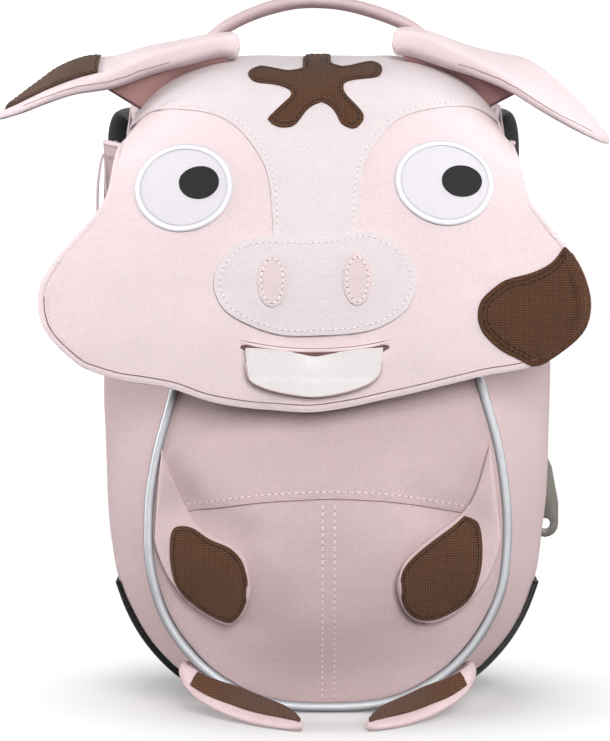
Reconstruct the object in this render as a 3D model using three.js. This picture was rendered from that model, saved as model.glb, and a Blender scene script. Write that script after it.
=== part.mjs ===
// A small child's backpack in the shape of a pig, standing on its base.
// Millimetres, +Z up. The face looks along -Y, and the back panel and the straps are at +Y.
// The origin is on the flat base panel, on the middle line of the bag.
import * as THREE from 'three';

const { clamp, lerp, smoothstep } = THREE.MathUtils;
const V3 = (x, y, z) => new THREE.Vector3(x, y, z);

// Driving sizes of the bag
const bodyWidth = 200;          // across the gusset at its widest
const bodyHeight = 290;         // floor to the crest of the flap
const bodyDepth = 112;          // piping plane to the outside of the back panel
const backY = 60;               // outside of the back panel, behind the origin
const clothThickness = 2;       // canvas wall with its lining
const patchThickness = 1;       // one more layer of canvas, sewn on
const baseThickness = 2;        // dark base panel
const backPadThickness = 8;     // padded back panel in its middle
const pipingDiameter = 4.2;
const frontCrown = 13;          // how far the stuffed front stands out of the piping plane
const topLeanBack = 9;          // how far the mouth's front edge leans back
const gussetFlare = 0.4;        // share of the depth in which the gusset reaches its full width
const seamGap = 0.3;            // between pieces that are sewn edge to edge
const layerGap = 0.5;           // between layers that lie on each other
const crestGap = 1.1;           // between layers over the curved crest
const seamHeight = 97;          // front pocket seam above the floor, in the middle

// Driving sizes of the head flap
const flapWidth = 242;          // across the cheeks
const flapOffset = -5;          // the head hangs a little to the left
const cheekWrap = 18;           // how far the cheeks bend back
const crestFlat = 33;           // half of the level part of the crest
const crestRadius = 58;         // rounding of the head beside that part

// Driving sizes of the face
const eyeWidth = 42.0;
const eyeHeight = 40.0;
const pupilWidth = 16.8;
const pupilHeight = 14.8;
const snoutWidth = 86;
const snoutHeight = 44;
const snoutThickness = 2;
const nostrilWidth = 12.2;
const nostrilHeight = 22.4;
const tongueWidth = 59;
const tongueLength = 17;
const tongueSlant = 1;          // the left side hangs lower than the right
const tongueThickness = 3.6;
const lipDiameter = 2.8;
const tuftWidth = 58;
const tuftLength = 67;

// How many sides the round pieces sewn on the head have
const sectors = { eye: 20, pupil: 16, snout: 26, nostril: 12, tuft: 60, cheek: 30 };

// Driving sizes of the ears, the arms and the feet
const earLength = 108;
const earDepth = 40;
const earThickness = 14;
const earFoldThickness = 2;
const armThickness = 4;
const armLift = 3;              // how far the arm's end stands off the front
const footThickness = 4.6;

// Driving sizes of what it is carried by
const handleSpan = 104;
const handleRise = 27;
const handleWidth = 22;
const handleThickness = 6;
const strapWidth = 42;
const strapThickness = 7;
const strapReach = 47;          // how far the straps stand behind the back panel
const webbingWidth = 20;
const webbingThickness = 1.6;
const adjusterWidth = 30;
const adjusterHeight = 24;
const adjusterThickness = 4;
const tabLength = 26;           // the adjuster's pull tab, below its frame
const tabWidth = 13;
const tabHole = 5.5;
const closureDiameter = 20;     // the flap's hidden fastening
const drawcordDiameter = 1.3;

const finish = (colour, roughness = 0.9, metalness = 0) =>
  new THREE.MeshStandardMaterial({ color: colour, roughness, metalness });
const pinkCanvas = finish(0xdcc4c7);
const paleCanvas = finish(0xeadfe1);
const brownCanvas = finish(0x5f4331);
const whiteCanvas = finish(0xf1f0f4, 0.7);
const blackCanvas = finish(0x302e2f, 0.8);
const innerPink = finish(0xe0c2c8);
const greyCanvas = finish(0x484c4b);
const greyWebbing = finish(0x3c3f3f, 0.8);
const greyPlastic = finish(0x76716a, 0.5);
const reflectivePiping = finish(0xb4b8bc, 0.35, 0.3);
const cordPink = finish(0xe6dcdc, 0.8);

const bag = new THREE.Group();

function add(name, geometry, material) {
  const mesh = new THREE.Mesh(geometry, material);
  mesh.name = name;
  bag.add(mesh);
  return mesh;
}

// Six times the signed volume: positive where the faces point outwards.
function signedVolume(points, triangles) {
  let sum = 0;
  for (let i = 0; i < triangles.length; i += 3) {
    const [a, b, c] = [0, 1, 2].map((k) => points[triangles[i + k]]);
    sum += a.dot(b.clone().cross(c));
  }
  return sum;
}

function closedGeometry(points, triangles) {
  if (signedVolume(points, triangles) < 0) triangles.reverse();
  const geometry = new THREE.BufferGeometry().setFromPoints(points);
  geometry.setIndex(triangles);
  geometry.computeVertexNormals();
  return geometry;
}

// A closed sheet between two surfaces, each a function of u and v from 0 to 1.
function sheet(front, back, columns, rows) {
  const points = [];
  for (const side of [front, back]) {
    for (let j = 0; j <= rows; j++) {
      for (let i = 0; i <= columns; i++) points.push(side(i / columns, j / rows));
    }
  }
  const layer = (columns + 1) * (rows + 1);
  const at = (i, j, k) => k * layer + j * (columns + 1) + i;
  const triangles = [];
  const quad = (a, b, c, d) => triangles.push(a, b, c, a, c, d);
  for (let j = 0; j < rows; j++) {
    for (let i = 0; i < columns; i++) {
      quad(at(i, j, 0), at(i + 1, j, 0), at(i + 1, j + 1, 0), at(i, j + 1, 0));
      quad(at(i, j, 1), at(i, j + 1, 1), at(i + 1, j + 1, 1), at(i + 1, j, 1));
    }
    quad(at(0, j, 0), at(0, j + 1, 0), at(0, j + 1, 1), at(0, j, 1));
    quad(at(columns, j, 0), at(columns, j, 1), at(columns, j + 1, 1), at(columns, j + 1, 0));
  }
  for (let i = 0; i < columns; i++) {
    quad(at(i, 0, 0), at(i, 0, 1), at(i + 1, 0, 1), at(i + 1, 0, 0));
    quad(at(i, rows, 0), at(i + 1, rows, 0), at(i + 1, rows, 1), at(i, rows, 1));
  }
  return closedGeometry(points, triangles);
}

// A closed disc of any outline. outline(share) goes round it and place(a, b, lift) seats a point
// on the surface that carries it. It stands from lift to lift + thickness.
function disc(outline, centre, place, lift, thickness, rings, sectors) {
  const points = [];
  for (const height of [lift + thickness, lift]) {
    points.push(place(centre.x, centre.y, height));
    for (let r = 1; r <= rings; r++) {
      for (let s = 0; s < sectors; s++) {
        const p = outline(s / sectors).lerp(centre, 1 - r / rings);
        points.push(place(p.x, p.y, height));
      }
    }
  }
  const layer = 1 + rings * sectors;
  const at = (r, s, k) => k * layer + (r === 0 ? 0 : 1 + (r - 1) * sectors + (s % sectors));
  const triangles = [];
  for (let s = 0; s < sectors; s++) {
    for (let r = 0; r < rings; r++) {
      triangles.push(at(r, s, 0), at(r + 1, s, 0), at(r + 1, s + 1, 0));
      triangles.push(at(r, s, 1), at(r + 1, s + 1, 1), at(r + 1, s, 1));
      if (r > 0) {
        triangles.push(at(r, s, 0), at(r + 1, s + 1, 0), at(r, s + 1, 0));
        triangles.push(at(r, s, 1), at(r, s + 1, 1), at(r + 1, s + 1, 1));
      }
    }
    triangles.push(at(rings, s, 0), at(rings, s, 1), at(rings, s + 1, 1));
    triangles.push(at(rings, s, 0), at(rings, s + 1, 1), at(rings, s + 1, 0));
  }
  return closedGeometry(points, triangles);
}

// A round cord, roll or piping along a curve.
function tube(curve, diameter, sides, steps) {
  const section = new THREE.Shape();
  for (let i = 0; i < sides; i++) {
    const angle = (i / sides) * 2 * Math.PI;
    const [x, y] = [Math.cos(angle) * diameter / 2, Math.sin(angle) * diameter / 2];
    if (i === 0) section.moveTo(x, y);
    else section.lineTo(x, y);
  }
  return new THREE.ExtrudeGeometry(section, { steps, extrudePath: curve });
}

// Reads a column of a table at any share of another column, smoothly between its rows.
function column(rows, key, value) {
  const slope = (i) => {
    const [a, b] = [rows[Math.max(i - 1, 0)], rows[Math.min(i + 1, rows.length - 1)]];
    return (b[value] - a[value]) / (b[key] - a[key]);
  };
  return (share) => {
    const x = clamp(share, rows[0][key], rows[rows.length - 1][key]);
    let i = 0;
    while (i < rows.length - 2 && x > rows[i + 1][key]) i++;
    const span = rows[i + 1][key] - rows[i][key];
    const t = (x - rows[i][key]) / span;
    const [p, q] = [rows[i][value], rows[i + 1][value]];
    const [m, n] = [slope(i) * span, slope(i + 1) * span];
    return p + m * t + (3 * (q - p) - 2 * m - n) * t * t + (2 * (p - q) + m + n) * t ** 3;
  };
}

// Fills the area between four edges, each a function from 0 to 1 that gives a Vector2.
function between(top, bottom, left, right) {
  const [topLeft, topRight, lowLeft, lowRight] = [top(0), top(1), bottom(0), bottom(1)];
  return (u, v) => {
    const p = top(u).multiplyScalar(1 - v).addScaledVector(bottom(u), v);
    p.addScaledVector(left(v), 1 - u).addScaledVector(right(v), u);
    p.addScaledVector(topLeft, -(1 - u) * (1 - v)).addScaledVector(topRight, -u * (1 - v));
    return p.addScaledVector(lowLeft, -(1 - u) * v).addScaledVector(lowRight, -u * v);
  };
}

// A closed outline through a few points, as a function of the share of the way round.
function roundOutline(rows, centre, halfWidth, halfHeight) {
  const points = rows.map(([x, y]) => V3(centre.x + x * halfWidth, centre.y + y * halfHeight, 0));
  const curve = new THREE.CatmullRomCurve3(points, true, 'centripetal');
  return (share) => {
    const p = curve.getPoint(share);
    return new THREE.Vector2(p.x, p.y);
  };
}

function ellipse(centre, width, height) {
  return (share) => {
    const angle = share * 2 * Math.PI;
    return new THREE.Vector2(centre.x + Math.cos(angle) * width / 2,
      centre.y + Math.sin(angle) * height / 2);
  };
}

// The body: half outlines from the mouth's corner down to the middle of the base. Front is the
// piping's line, back is the line at the back panel. Widths are shares of half the body's width,
// heights of its height, and lean of topLeanBack. The top of the back sways to the left.
const bodyRows = [
  { frontX: 0.460, frontZ: 0.828, lean: 1.00, backX: 0.9175, backZ: 0.862, sway: -0.0775 },
  { frontX: 0.500, frontZ: 0.741, lean: 0.60, backX: 0.945, backZ: 0.766, sway: -0.052 },
  { frontX: 0.575, frontZ: 0.628, lean: 0.15, backX: 0.990, backZ: 0.655, sway: -0.010 },
  { frontX: 0.670, frontZ: 0.500, lean: 0.00, backX: 1.000, backZ: 0.524 },
  { frontX: 0.755, frontZ: 0.390, lean: 0.00, backX: 0.998, backZ: 0.407 },
  { frontX: 0.788, frontZ: 0.297, lean: 0.00, backX: 0.988, backZ: 0.303 },
  { frontX: 0.782, frontZ: 0.228, lean: 0.00, backX: 0.966, backZ: 0.234 },
  { frontX: 0.745, frontZ: 0.172, lean: 0.00, backX: 0.930, backZ: 0.176 },
  { frontX: 0.665, frontZ: 0.116, lean: 0.00, backX: 0.857, backZ: 0.117 },
  { frontX: 0.560, frontZ: 0.072, lean: 0.00, backX: 0.762, backZ: 0.071 },
  { frontX: 0.430, frontZ: 0.040, lean: 0.00, backX: 0.630, backZ: 0.031 },
  { frontX: 0.290, frontZ: 0.019, lean: 0.00, backX: 0.460, backZ: 0.008 },
  { frontX: 0.140, frontZ: 0.0105, lean: 0.00, backX: 0.240, backZ: 0.008 },
  { frontX: 0.000, frontZ: 0.009, lean: 0.00, backX: 0.000, backZ: 0.008 },
];
const frontY = backY - bodyDepth;
const baseClear = baseThickness + seamGap;      // the gusset's bottom above the floor
const halfBody = bodyWidth / 2;

function wholeOutline(xKey, zKey, swayKey, low) {
  const side = (sign) => bodyRows.map((row) => V3(
    (sign * row[xKey] + (row[swayKey] ?? 0)) * halfBody,
    frontY + row.lean * topLeanBack,
    Math.max(row[zKey] * bodyHeight, low)));
  const points = [...side(-1), ...side(1).reverse().slice(1)];
  return new THREE.CatmullRomCurve3(points, false, 'centripetal');
}
const frontOutline = wholeOutline('frontX', 'frontZ', 'none', pipingDiameter / 2 + seamGap);
const backOutline = wholeOutline('backX', 'backZ', 'sway', baseClear);

// around runs from -1 at the left corner of the mouth, over 0 in the middle of the base, to 1.
// depth runs from 0 at the piping to 1 at the back panel. lift is outwards.
function gussetPoint(around, depth, lift) {
  const flare = smoothstep(depth, 0, gussetFlare);
  const blend = (w) => {
    const share = clamp((w + 1) / 2, 0, 1);
    return frontOutline.getPoint(share).lerp(backOutline.getPoint(share), flare);
  };
  const step = 0.01;
  const p = blend(around);
  const along = blend(Math.min(around + step, 1)).sub(blend(Math.max(around - step, -1)));
  const out = V3(along.z, 0, -along.x).normalize();
  const start = frontOutline.getPoint((around + 1) / 2).y + pipingDiameter / 2 + seamGap;
  p.addScaledVector(out, lift);
  p.y = lerp(start, backY - backPadThickness - seamGap, depth);
  p.z = Math.max(p.z, 0);
  return p;
}

function gussetPart(name, fromAround, toAround, columns, rows) {
  const wall = (lift) => (u, v) => gussetPoint(lerp(fromAround, toAround, u), v, lift);
  add(name, sheet(wall(0), wall(-clothThickness), columns, rows), pinkCanvas);
}
const sideSeam = 0.27;          // where the side gussets meet the bottom one, as a share of the way
const seamShare = 0.0009;       // the same seam's gap, as a share of the way round
gussetPart('gusset_left', -1, -sideSeam - seamShare, 14, 5);
gussetPart('gusset_bottom', -sideSeam + seamShare, sideSeam - seamShare, 10, 5);
gussetPart('gusset_right', sideSeam + seamShare, 1, 14, 5);

// The dark base panel lies under the rear of the gusset and comes up at its corners.
const baseReach = 0.47;
const basePanel = (lift) => (u, v) =>
  gussetPoint(lerp(-baseReach, baseReach, u), lerp(gussetFlare, 1, v), lift);
add('base_panel', sheet(basePanel(baseClear), basePanel(seamGap), 22, 2), greyCanvas);

// The reflective piping in the seam between the front and the gusset.
add('piping', tube(frontOutline, pipingDiameter, 6, 52), reflectivePiping);

// The front, sewn into the piping and stuffed outwards.
function outlineInset(around, inset) {
  const share = (around + 1) / 2;
  const p = frontOutline.getPoint(share);
  const along = frontOutline.getTangent(share);
  return new THREE.Vector2(p.x - along.z * inset, p.z + along.x * inset);
}
const outlineSamples = Array.from({ length: 101 }, (_, i) => frontOutline.getPoint(0.5 + i / 200));
function frontHalfAt(z) {
  const i = outlineSamples.findIndex((p) => p.z >= z);
  if (i < 0) return outlineSamples[100].x;
  if (i === 0) return outlineSamples[1].x;
  const [p, q] = [outlineSamples[i - 1], outlineSamples[i]];
  return lerp(p.x, q.x, (z - p.z) / (q.z - p.z));
}
const leanAt = column([...bodyRows].reverse(), 'frontZ', 'lean');
const crownRise = 0.17;         // share of the height over which the crown grows from the base
function frontPoint(x, z, lift) {
  const side = clamp(x / frontHalfAt(z), -1, 1);
  const crown = frontCrown * (1 - side * side) * smoothstep(z / bodyHeight, 0, crownRise);
  return V3(x, frontY + leanAt(z / bodyHeight) * topLeanBack - crown - lift, z);
}
const panelInset = pipingDiameter / 2 + seamGap;
const seamAround = 0.615;       // where the pocket seam meets the piping
const lowerCorner = 0.38;
function seamRow(shift) {
  const end = outlineInset(seamAround, panelInset);
  return (u) => {
    const x = lerp(-end.x, end.x, u);
    return new THREE.Vector2(x, seamHeight - (seamHeight - end.y) * (x / end.x) ** 2 + shift);
  };
}
const edgeFrom = (start, end, inset) => (v) => outlineInset(lerp(start, end, v), inset);
function frontPart(name, area, columns, rows) {
  const face = (lift) => (u, v) => {
    const p = area(u, v);
    return frontPoint(p.x, p.y, lift);
  };
  add(name, sheet(face(0), face(-clothThickness), columns, rows), pinkCanvas);
}
frontPart('front_panel', between(
  (u) => new THREE.Vector2(lerp(-1, 1, u) * outlineInset(1, panelInset).x, outlineInset(1, 0).y),
  seamRow(seamGap / 2),
  edgeFrom(-1, -seamAround, panelInset),
  edgeFrom(1, seamAround, panelInset),
), 12, 8);
frontPart('front_pocket', between(
  seamRow(-seamGap / 2),
  (u) => outlineInset(lerp(-lowerCorner, lowerCorner, u), panelInset),
  edgeFrom(-seamAround, -lowerCorner, panelInset),
  edgeFrom(seamAround, lowerCorner, panelInset),
), 12, 7);

// The padded back panel. Its bound edge stands a little out of the gusset.
const backRim = 1.5;
const backTopShare = 0.868;
const backEdgeThickness = 5;
const backLowCorner = 0.3;
const cornerDrop = 5;           // how far the top corners are rounded off
function backEdge(around) {
  const share = (around + 1) / 2;
  const p = backOutline.getPoint(share);
  const along = backOutline.getTangent(share);
  return new THREE.Vector2(p.x + along.z * backRim, Math.max(p.z - along.x * backRim, seamGap));
}
const backArea = between(
  (u) => {
    const side = lerp(-1, 1, u);
    return new THREE.Vector2(lerp(backEdge(-1).x, backEdge(1).x, u),
      backTopShare * bodyHeight - cornerDrop * side ** 6);
  },
  (u) => backEdge(lerp(-backLowCorner, backLowCorner, u)),
  (v) => backEdge(lerp(-1, -backLowCorner, v)).setY(lerp(
    backTopShare * bodyHeight - cornerDrop, backEdge(backLowCorner).y, v)),
  (v) => backEdge(lerp(1, backLowCorner, v)).setY(lerp(
    backTopShare * bodyHeight - cornerDrop, backEdge(backLowCorner).y, v)),
);
const padFall = 12;             // how abruptly the padding falls off at the edge
function backFace(thick) {
  return (u, v) => {
    const p = backArea(u, v);
    const full = (1 - Math.abs(2 * u - 1) ** padFall) * (1 - Math.abs(2 * v - 1) ** padFall);
    const depth = thick ? lerp(backEdgeThickness, backPadThickness, full) : 0;
    return V3(p.x, backY - backPadThickness + depth, p.y);
  };
}
add('back_panel', sheet(backFace(true), backFace(false), 8, 8), greyCanvas);

// The head flap runs from the back panel's top over the crest and down the front.
const flapRows = [
  { depth: 0.01, height: 0.870 },
  { depth: 0.01, height: 0.905 },
  { depth: 0.04, height: 0.950 },
  { depth: 0.15, height: 0.985 },
  { depth: 0.34, height: 1.000 },
  { depth: 0.55, height: 0.998 },
  { depth: 0.75, height: 0.975 },
  { depth: 0.91, height: 0.925 },
  { depth: 1.04, height: 0.850 },
  { depth: 1.13, height: 0.765 },
  { depth: 1.20, height: 0.675 },
  { depth: 1.24, height: 0.580 },
  { depth: 1.24, height: 0.470 },
];
const flapProfile = new THREE.CatmullRomCurve3(
  flapRows.map((row) => V3(0, backY - row.depth * bodyDepth, row.height * bodyHeight)),
  false, 'centripetal');
flapProfile.arcLengthDivisions = 400;
const flapRun = flapProfile.getLength();
const flapHalf = flapWidth / 2;
const crestEnd = 0.40;          // share of the run at which the rounded crest ends
const faceStart = 0.60;         // and at which the face is only wrapped
const rearRounding = 0.22;

// across is measured from the head's middle line and down from the rear seam, along the surface.
function flapSurface(across, down) {
  const share = clamp(down / flapRun, 0, 1);
  const p = flapProfile.getPointAt(share);
  const along = flapProfile.getTangentAt(share);
  const beyond = clamp(Math.abs(across) - crestFlat, 0, 0.97 * crestRadius);
  const crestDrop = crestRadius - Math.sqrt(crestRadius ** 2 - beyond ** 2);
  const faceDrop = cheekWrap * (across / flapHalf) ** 2;
  const face = smoothstep(share, crestEnd, faceStart);
  const drop = smoothstep(share, 0, rearRounding) * lerp(crestDrop, faceDrop, face);
  p.addScaledVector(V3(0, along.z, -along.y), -drop);
  p.x = across + flapOffset;
  return p;
}
function flapPoint(across, down, lift) {
  const step = 0.5;
  const sideways = flapSurface(across + step, down).sub(flapSurface(across - step, down));
  const downwards = flapSurface(across, Math.min(down + step, flapRun))
    .sub(flapSurface(across, Math.max(down - step, 0)));
  return flapSurface(across, down).addScaledVector(downwards.cross(sideways).normalize(), lift);
}
// Columns stand closer at the sides, where the crest is rounded.
const sideSpread = 1.1;
const spread = (u) => 0.5 + 0.5 * Math.sin((2 * u - 1) * sideSpread) / Math.sin(sideSpread);

// The flap's two sides, as shares of half its width. down is a share of each side's length.
const flapSides = [
  { down: 0.00, left: 0.730, right: 0.730 },
  { down: 0.16, left: 0.700, right: 0.700 },
  { down: 0.32, left: 0.700, right: 0.695 },
  { down: 0.44, left: 0.700, right: 0.690 },
  { down: 0.52, left: 0.715, right: 0.710 },
  { down: 0.60, left: 0.735, right: 0.735 },
  { down: 0.68, left: 0.755, right: 0.760 },
  { down: 0.72, left: 0.785, right: 0.780 },
  { down: 0.75, left: 0.840, right: 0.835 },
  { down: 0.79, left: 0.915, right: 0.910 },
  { down: 0.83, left: 0.980, right: 0.955 },
  { down: 0.88, left: 1.003, right: 0.993 },
  { down: 0.93, left: 0.985, right: 0.980 },
  { down: 0.97, left: 0.930, right: 0.930 },
  { down: 1.00, left: 0.860, right: 0.850 },
];
// The flap's lower hem, as shares of the run.
const flapHem = [
  { across: 0.00, down: 0.930 },
  { across: 0.07, down: 0.952 },
  { across: 0.20, down: 0.967 },
  { across: 0.30, down: 0.990 },
  { across: 0.44, down: 1.000 },
  { across: 0.52, down: 1.000 },
  { across: 0.60, down: 0.988 },
  { across: 0.70, down: 0.972 },
  { across: 0.83, down: 0.951 },
  { across: 0.95, down: 0.934 },
  { across: 1.00, down: 0.920 },
];
const leftSide = column(flapSides, 'down', 'left');
const rightSide = column(flapSides, 'down', 'right');
const hem = column(flapHem, 'across', 'down');
const flapArea = between(
  (u) => new THREE.Vector2(lerp(-leftSide(0), rightSide(0), u), 0),
  (u) => new THREE.Vector2(lerp(-leftSide(1), rightSide(1), u), hem(u)),
  (v) => new THREE.Vector2(-leftSide(v), v * hem(0)),
  (v) => new THREE.Vector2(rightSide(v), v * hem(1)),
);
const flapFace = (lift) => (u, v) => {
  const p = flapArea(spread(u), v);
  return flapPoint(p.x * flapHalf, p.y * flapRun, lift);
};
add('flap', sheet(flapFace(0), flapFace(-clothThickness), 16, 20), pinkCanvas);

const flapSpot = (across, down) => new THREE.Vector2(across * flapHalf, down * flapRun);

// The paler forehead runs down between the eyes to the snout.
const foreheadRows = [
  { down: 0.285, left: 0.650, right: 0.640 },
  { down: 0.335, left: 0.675, right: 0.655 },
  { down: 0.405, left: 0.685, right: 0.665 },
  { down: 0.434, left: 0.665, right: 0.620 },
  { down: 0.452, left: 0.600, right: 0.560 },
  { down: 0.479, left: 0.495, right: 0.455 },
  { down: 0.498, left: 0.390, right: 0.355 },
  { down: 0.520, left: 0.310, right: 0.280 },
  { down: 0.553, left: 0.246, right: 0.222 },
  { down: 0.594, left: 0.196, right: 0.178 },
  { down: 0.637, left: 0.168, right: 0.158 },
  { down: 0.712, left: 0.155, right: 0.148 },
];
function rowAt(rows, share) {
  const place = clamp(share, 0, 1) * (rows.length - 1);
  const i = Math.min(Math.floor(place), rows.length - 2);
  const row = {};
  for (const key of Object.keys(rows[i])) row[key] = lerp(rows[i][key], rows[i + 1][key], place - i);
  return row;
}
const foreheadFace = (lift) => (u, v) => {
  const row = rowAt(foreheadRows, v);
  return flapPoint(lerp(-row.left, row.right, spread(u)) * flapHalf, row.down * flapRun, lift);
};
add('forehead_panel', sheet(foreheadFace(crestGap + patchThickness), foreheadFace(crestGap), 12,
  foreheadRows.length - 1), paleCanvas);

// Eyes and pupils
const pupilLift = layerGap + patchThickness + layerGap;
const eyes = [
  { side: 'left', across: -0.477, down: 0.633, pupilAcross: -0.418, pupilDown: 0.628 },
  { side: 'right', across: 0.461, down: 0.624, pupilAcross: 0.521, pupilDown: 0.622 },
];
for (const { side, across, down, pupilAcross, pupilDown } of eyes) {
  const centre = flapSpot(across, down);
  const pupil = flapSpot(pupilAcross, pupilDown);
  add(`eye_${side}`, disc(ellipse(centre, eyeWidth, eyeHeight), centre, flapPoint,
    layerGap, patchThickness, 2, sectors.eye), whiteCanvas);
  add(`pupil_${side}`, disc(ellipse(pupil, pupilWidth, pupilHeight), pupil, flapPoint,
    pupilLift, patchThickness, 1, sectors.pupil), blackCanvas);
}

// The snout, as shares of half its width and height, and its nostrils
const snoutOutline = [
  [0.00, -0.93], [0.30, -0.99], [0.48, -1.07], [0.67, -0.99], [0.83, -0.82], [0.94, -0.50],
  [1.00, -0.14], [0.93, 0.34], [0.76, 0.66], [0.50, 0.88], [0.05, 0.97], [-0.38, 0.95],
  [-0.63, 0.78], [-0.84, 0.56], [-0.96, 0.24], [-1.00, -0.14], [-0.90, -0.58], [-0.79, -0.82],
  [-0.62, -0.94], [-0.40, -0.95],
];
const snoutCentre = flapSpot(-0.004, 0.803);
const snoutEdge = roundOutline(snoutOutline, snoutCentre, snoutWidth / 2, snoutHeight / 2);
add('snout', disc(snoutEdge, snoutCentre, flapPoint, layerGap, snoutThickness, 3,
  sectors.snout), paleCanvas);
const nostrils = [
  { side: 'left', across: -0.156, down: 0.796 },
  { side: 'right', across: 0.145, down: 0.794 },
];
const nostrilLift = layerGap + snoutThickness + seamGap;
for (const { side, across, down } of nostrils) {
  const centre = flapSpot(across, down);
  add(`nostril_${side}`, disc(ellipse(centre, nostrilWidth, nostrilHeight), centre, flapPoint,
    nostrilLift, patchThickness, 1, sectors.nostril), innerPink);
}

// The mouth's lip is a roll, and the tongue hangs out under it.
const lipRows = [
  { across: -0.275, down: 0.897 },
  { across: -0.210, down: 0.898 },
  { across: -0.105, down: 0.902 },
  { across: -0.005, down: 0.906 },
  { across: 0.150, down: 0.899 },
  { across: 0.262, down: 0.892 },
];
const lipLift = layerGap + lipDiameter / 2;
const lipCurve = new THREE.CatmullRomCurve3(lipRows.map(({ across, down }) => {
  const p = flapSpot(across, down);
  return flapPoint(p.x, p.y, lipLift);
}));
add('mouth_lip', tube(lipCurve, lipDiameter, 6, 10), pinkCanvas);
const tongueMiddle = -0.006;
const lipDown = column(lipRows, 'across', 'down');
const tongueSquare = 0.78;      // how square the tongue's end is: 1 is an ellipse, 0 a box
const tongueStraight = 0.5;     // its straight sides, as a share of its length
function tongueArea(u, v) {
  const angle = lerp(-Math.PI / 2, Math.PI / 2, u);
  const side = Math.sign(angle) * Math.abs(Math.sin(angle)) ** tongueSquare;
  const half = (tongueWidth / 2) * (1 - 0.03 * v);
  const across = tongueMiddle * flapHalf + side * half;
  const top = lipDown(across / flapHalf) * flapRun + lipDiameter / 2 + seamGap;
  const end = Math.max(Math.cos(angle), 0) ** tongueSquare;
  const length = tongueLength * lerp(tongueStraight, 1, end) - tongueSlant * side;
  return new THREE.Vector2(across, top + v * length);
}
const tongueFace = (lift) => (u, v) => {
  const p = tongueArea(u, v);
  return flapPoint(p.x, p.y, lift);
};
add('tongue', sheet(tongueFace(layerGap + tongueThickness), tongueFace(layerGap), 12, 2),
  whiteCanvas);

// The forehead's brown tuft of hair, as shares of half its width and length
const tuftOutline = [
  [-0.14, -1.00], [0.19, -1.00], [0.22, -0.34], [0.40, -0.16], [0.66, -0.28], [0.84, -0.36],
  [1.00, -0.12], [0.94, 0.10], [0.62, 0.17], [0.43, 0.24], [0.42, 0.42], [0.56, 0.62],
  [0.70, 0.82], [0.56, 0.99], [0.36, 0.93], [0.24, 0.73], [0.07, 0.60], [-0.15, 0.73],
  [-0.32, 0.96], [-0.52, 1.00], [-0.71, 0.88], [-0.58, 0.74], [-0.38, 0.51], [-0.39, 0.38],
  [-0.62, 0.28], [-0.90, 0.23], [-1.00, 0.04], [-0.82, -0.17], [-0.45, -0.06], [-0.20, -0.14],
];
const tuftCentre = flapSpot(0, 0.410);
const tuftHub = flapSpot(0, 0.425);
const tuftEdge = roundOutline(tuftOutline, tuftCentre, tuftWidth / 2, tuftLength / 2);
const tuftLift = crestGap + patchThickness + crestGap;
add('forehead_tuft', disc(tuftEdge, tuftHub, flapPoint, tuftLift, patchThickness, 3,
  sectors.tuft), brownCanvas);

// The brown patch on the right cheek ends just inside the flap's edge.
const cheekOutline = [
  [0.890, 0.728], [0.855, 0.752], [0.770, 0.777], [0.686, 0.789], [0.628, 0.808], [0.592, 0.827],
  [0.583, 0.854], [0.609, 0.880], [0.667, 0.904], [0.729, 0.920], [0.790, 0.932], [0.870, 0.908],
  [0.925, 0.870], [0.960, 0.835], [0.968, 0.798], [0.930, 0.755],
];
const cheekPatch = roundOutline(cheekOutline, new THREE.Vector2(0, 0), flapHalf, flapRun);
add('cheek_patch', disc(cheekPatch, flapSpot(0.78, 0.85), flapPoint, layerGap, patchThickness, 2,
  sectors.cheek), brownCanvas);

// A flat pad through stations. Each station has its centre, a vector to one edge and a vector to
// its upper face. across runs from -1 to 1 between the edges.
const padRim = 0.2;             // thickness of a pad's edge, as a share of its middle
function pad(stations) {
  const [centre, across, up] = ['centre', 'across', 'up'].map((key) =>
    new THREE.CatmullRomCurve3(stations.map((station) => station[key]), false, 'centripetal'));
  const point = (v, a, side, lift) => {
    const p = centre.getPoint(v).addScaledVector(across.getPoint(v), a);
    const upwards = up.getPoint(v);
    const height = upwards.length() * (padRim + (1 - padRim) * Math.sqrt(1 - a * a)) + lift;
    return p.addScaledVector(upwards.normalize(), side * height);
  };
  const face = (side) => (u, v) => {
    const angle = Math.PI * u;
    return point(v, -Math.cos(angle), side, 0);
  };
  return { point, solid: (columns, rows) => sheet(face(1), face(-1), columns, rows) };
}

// Stations from two edge lines and a thickness
function edgeStations(rows, high, low, thickness) {
  const middles = rows.map((row) => high(row).add(low(row)).multiplyScalar(0.5));
  return rows.map((row, i) => {
    const across = high(row).sub(low(row)).multiplyScalar(0.5);
    const along = middles[Math.min(i + 1, rows.length - 1)].clone()
      .sub(middles[Math.max(i - 1, 0)]);
    const up = across.clone().cross(along).normalize().multiplyScalar(thickness(row) / 2);
    return { centre: middles[i], across, up };
  });
}

// A thin patch on a pad's upper face. rootAt gives where it starts along the pad, for each place
// across it.
function padPatch(body, gap, rootAt, toV, fromAcross, toAcross, columns, rows) {
  const face = (lift) => (u, v) => {
    const across = lerp(fromAcross, toAcross, v);
    return body.point(lerp(rootAt(across), toV, u), across, 1, lift);
  };
  return sheet(face(gap + patchThickness), face(gap), columns, rows);
}

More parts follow.
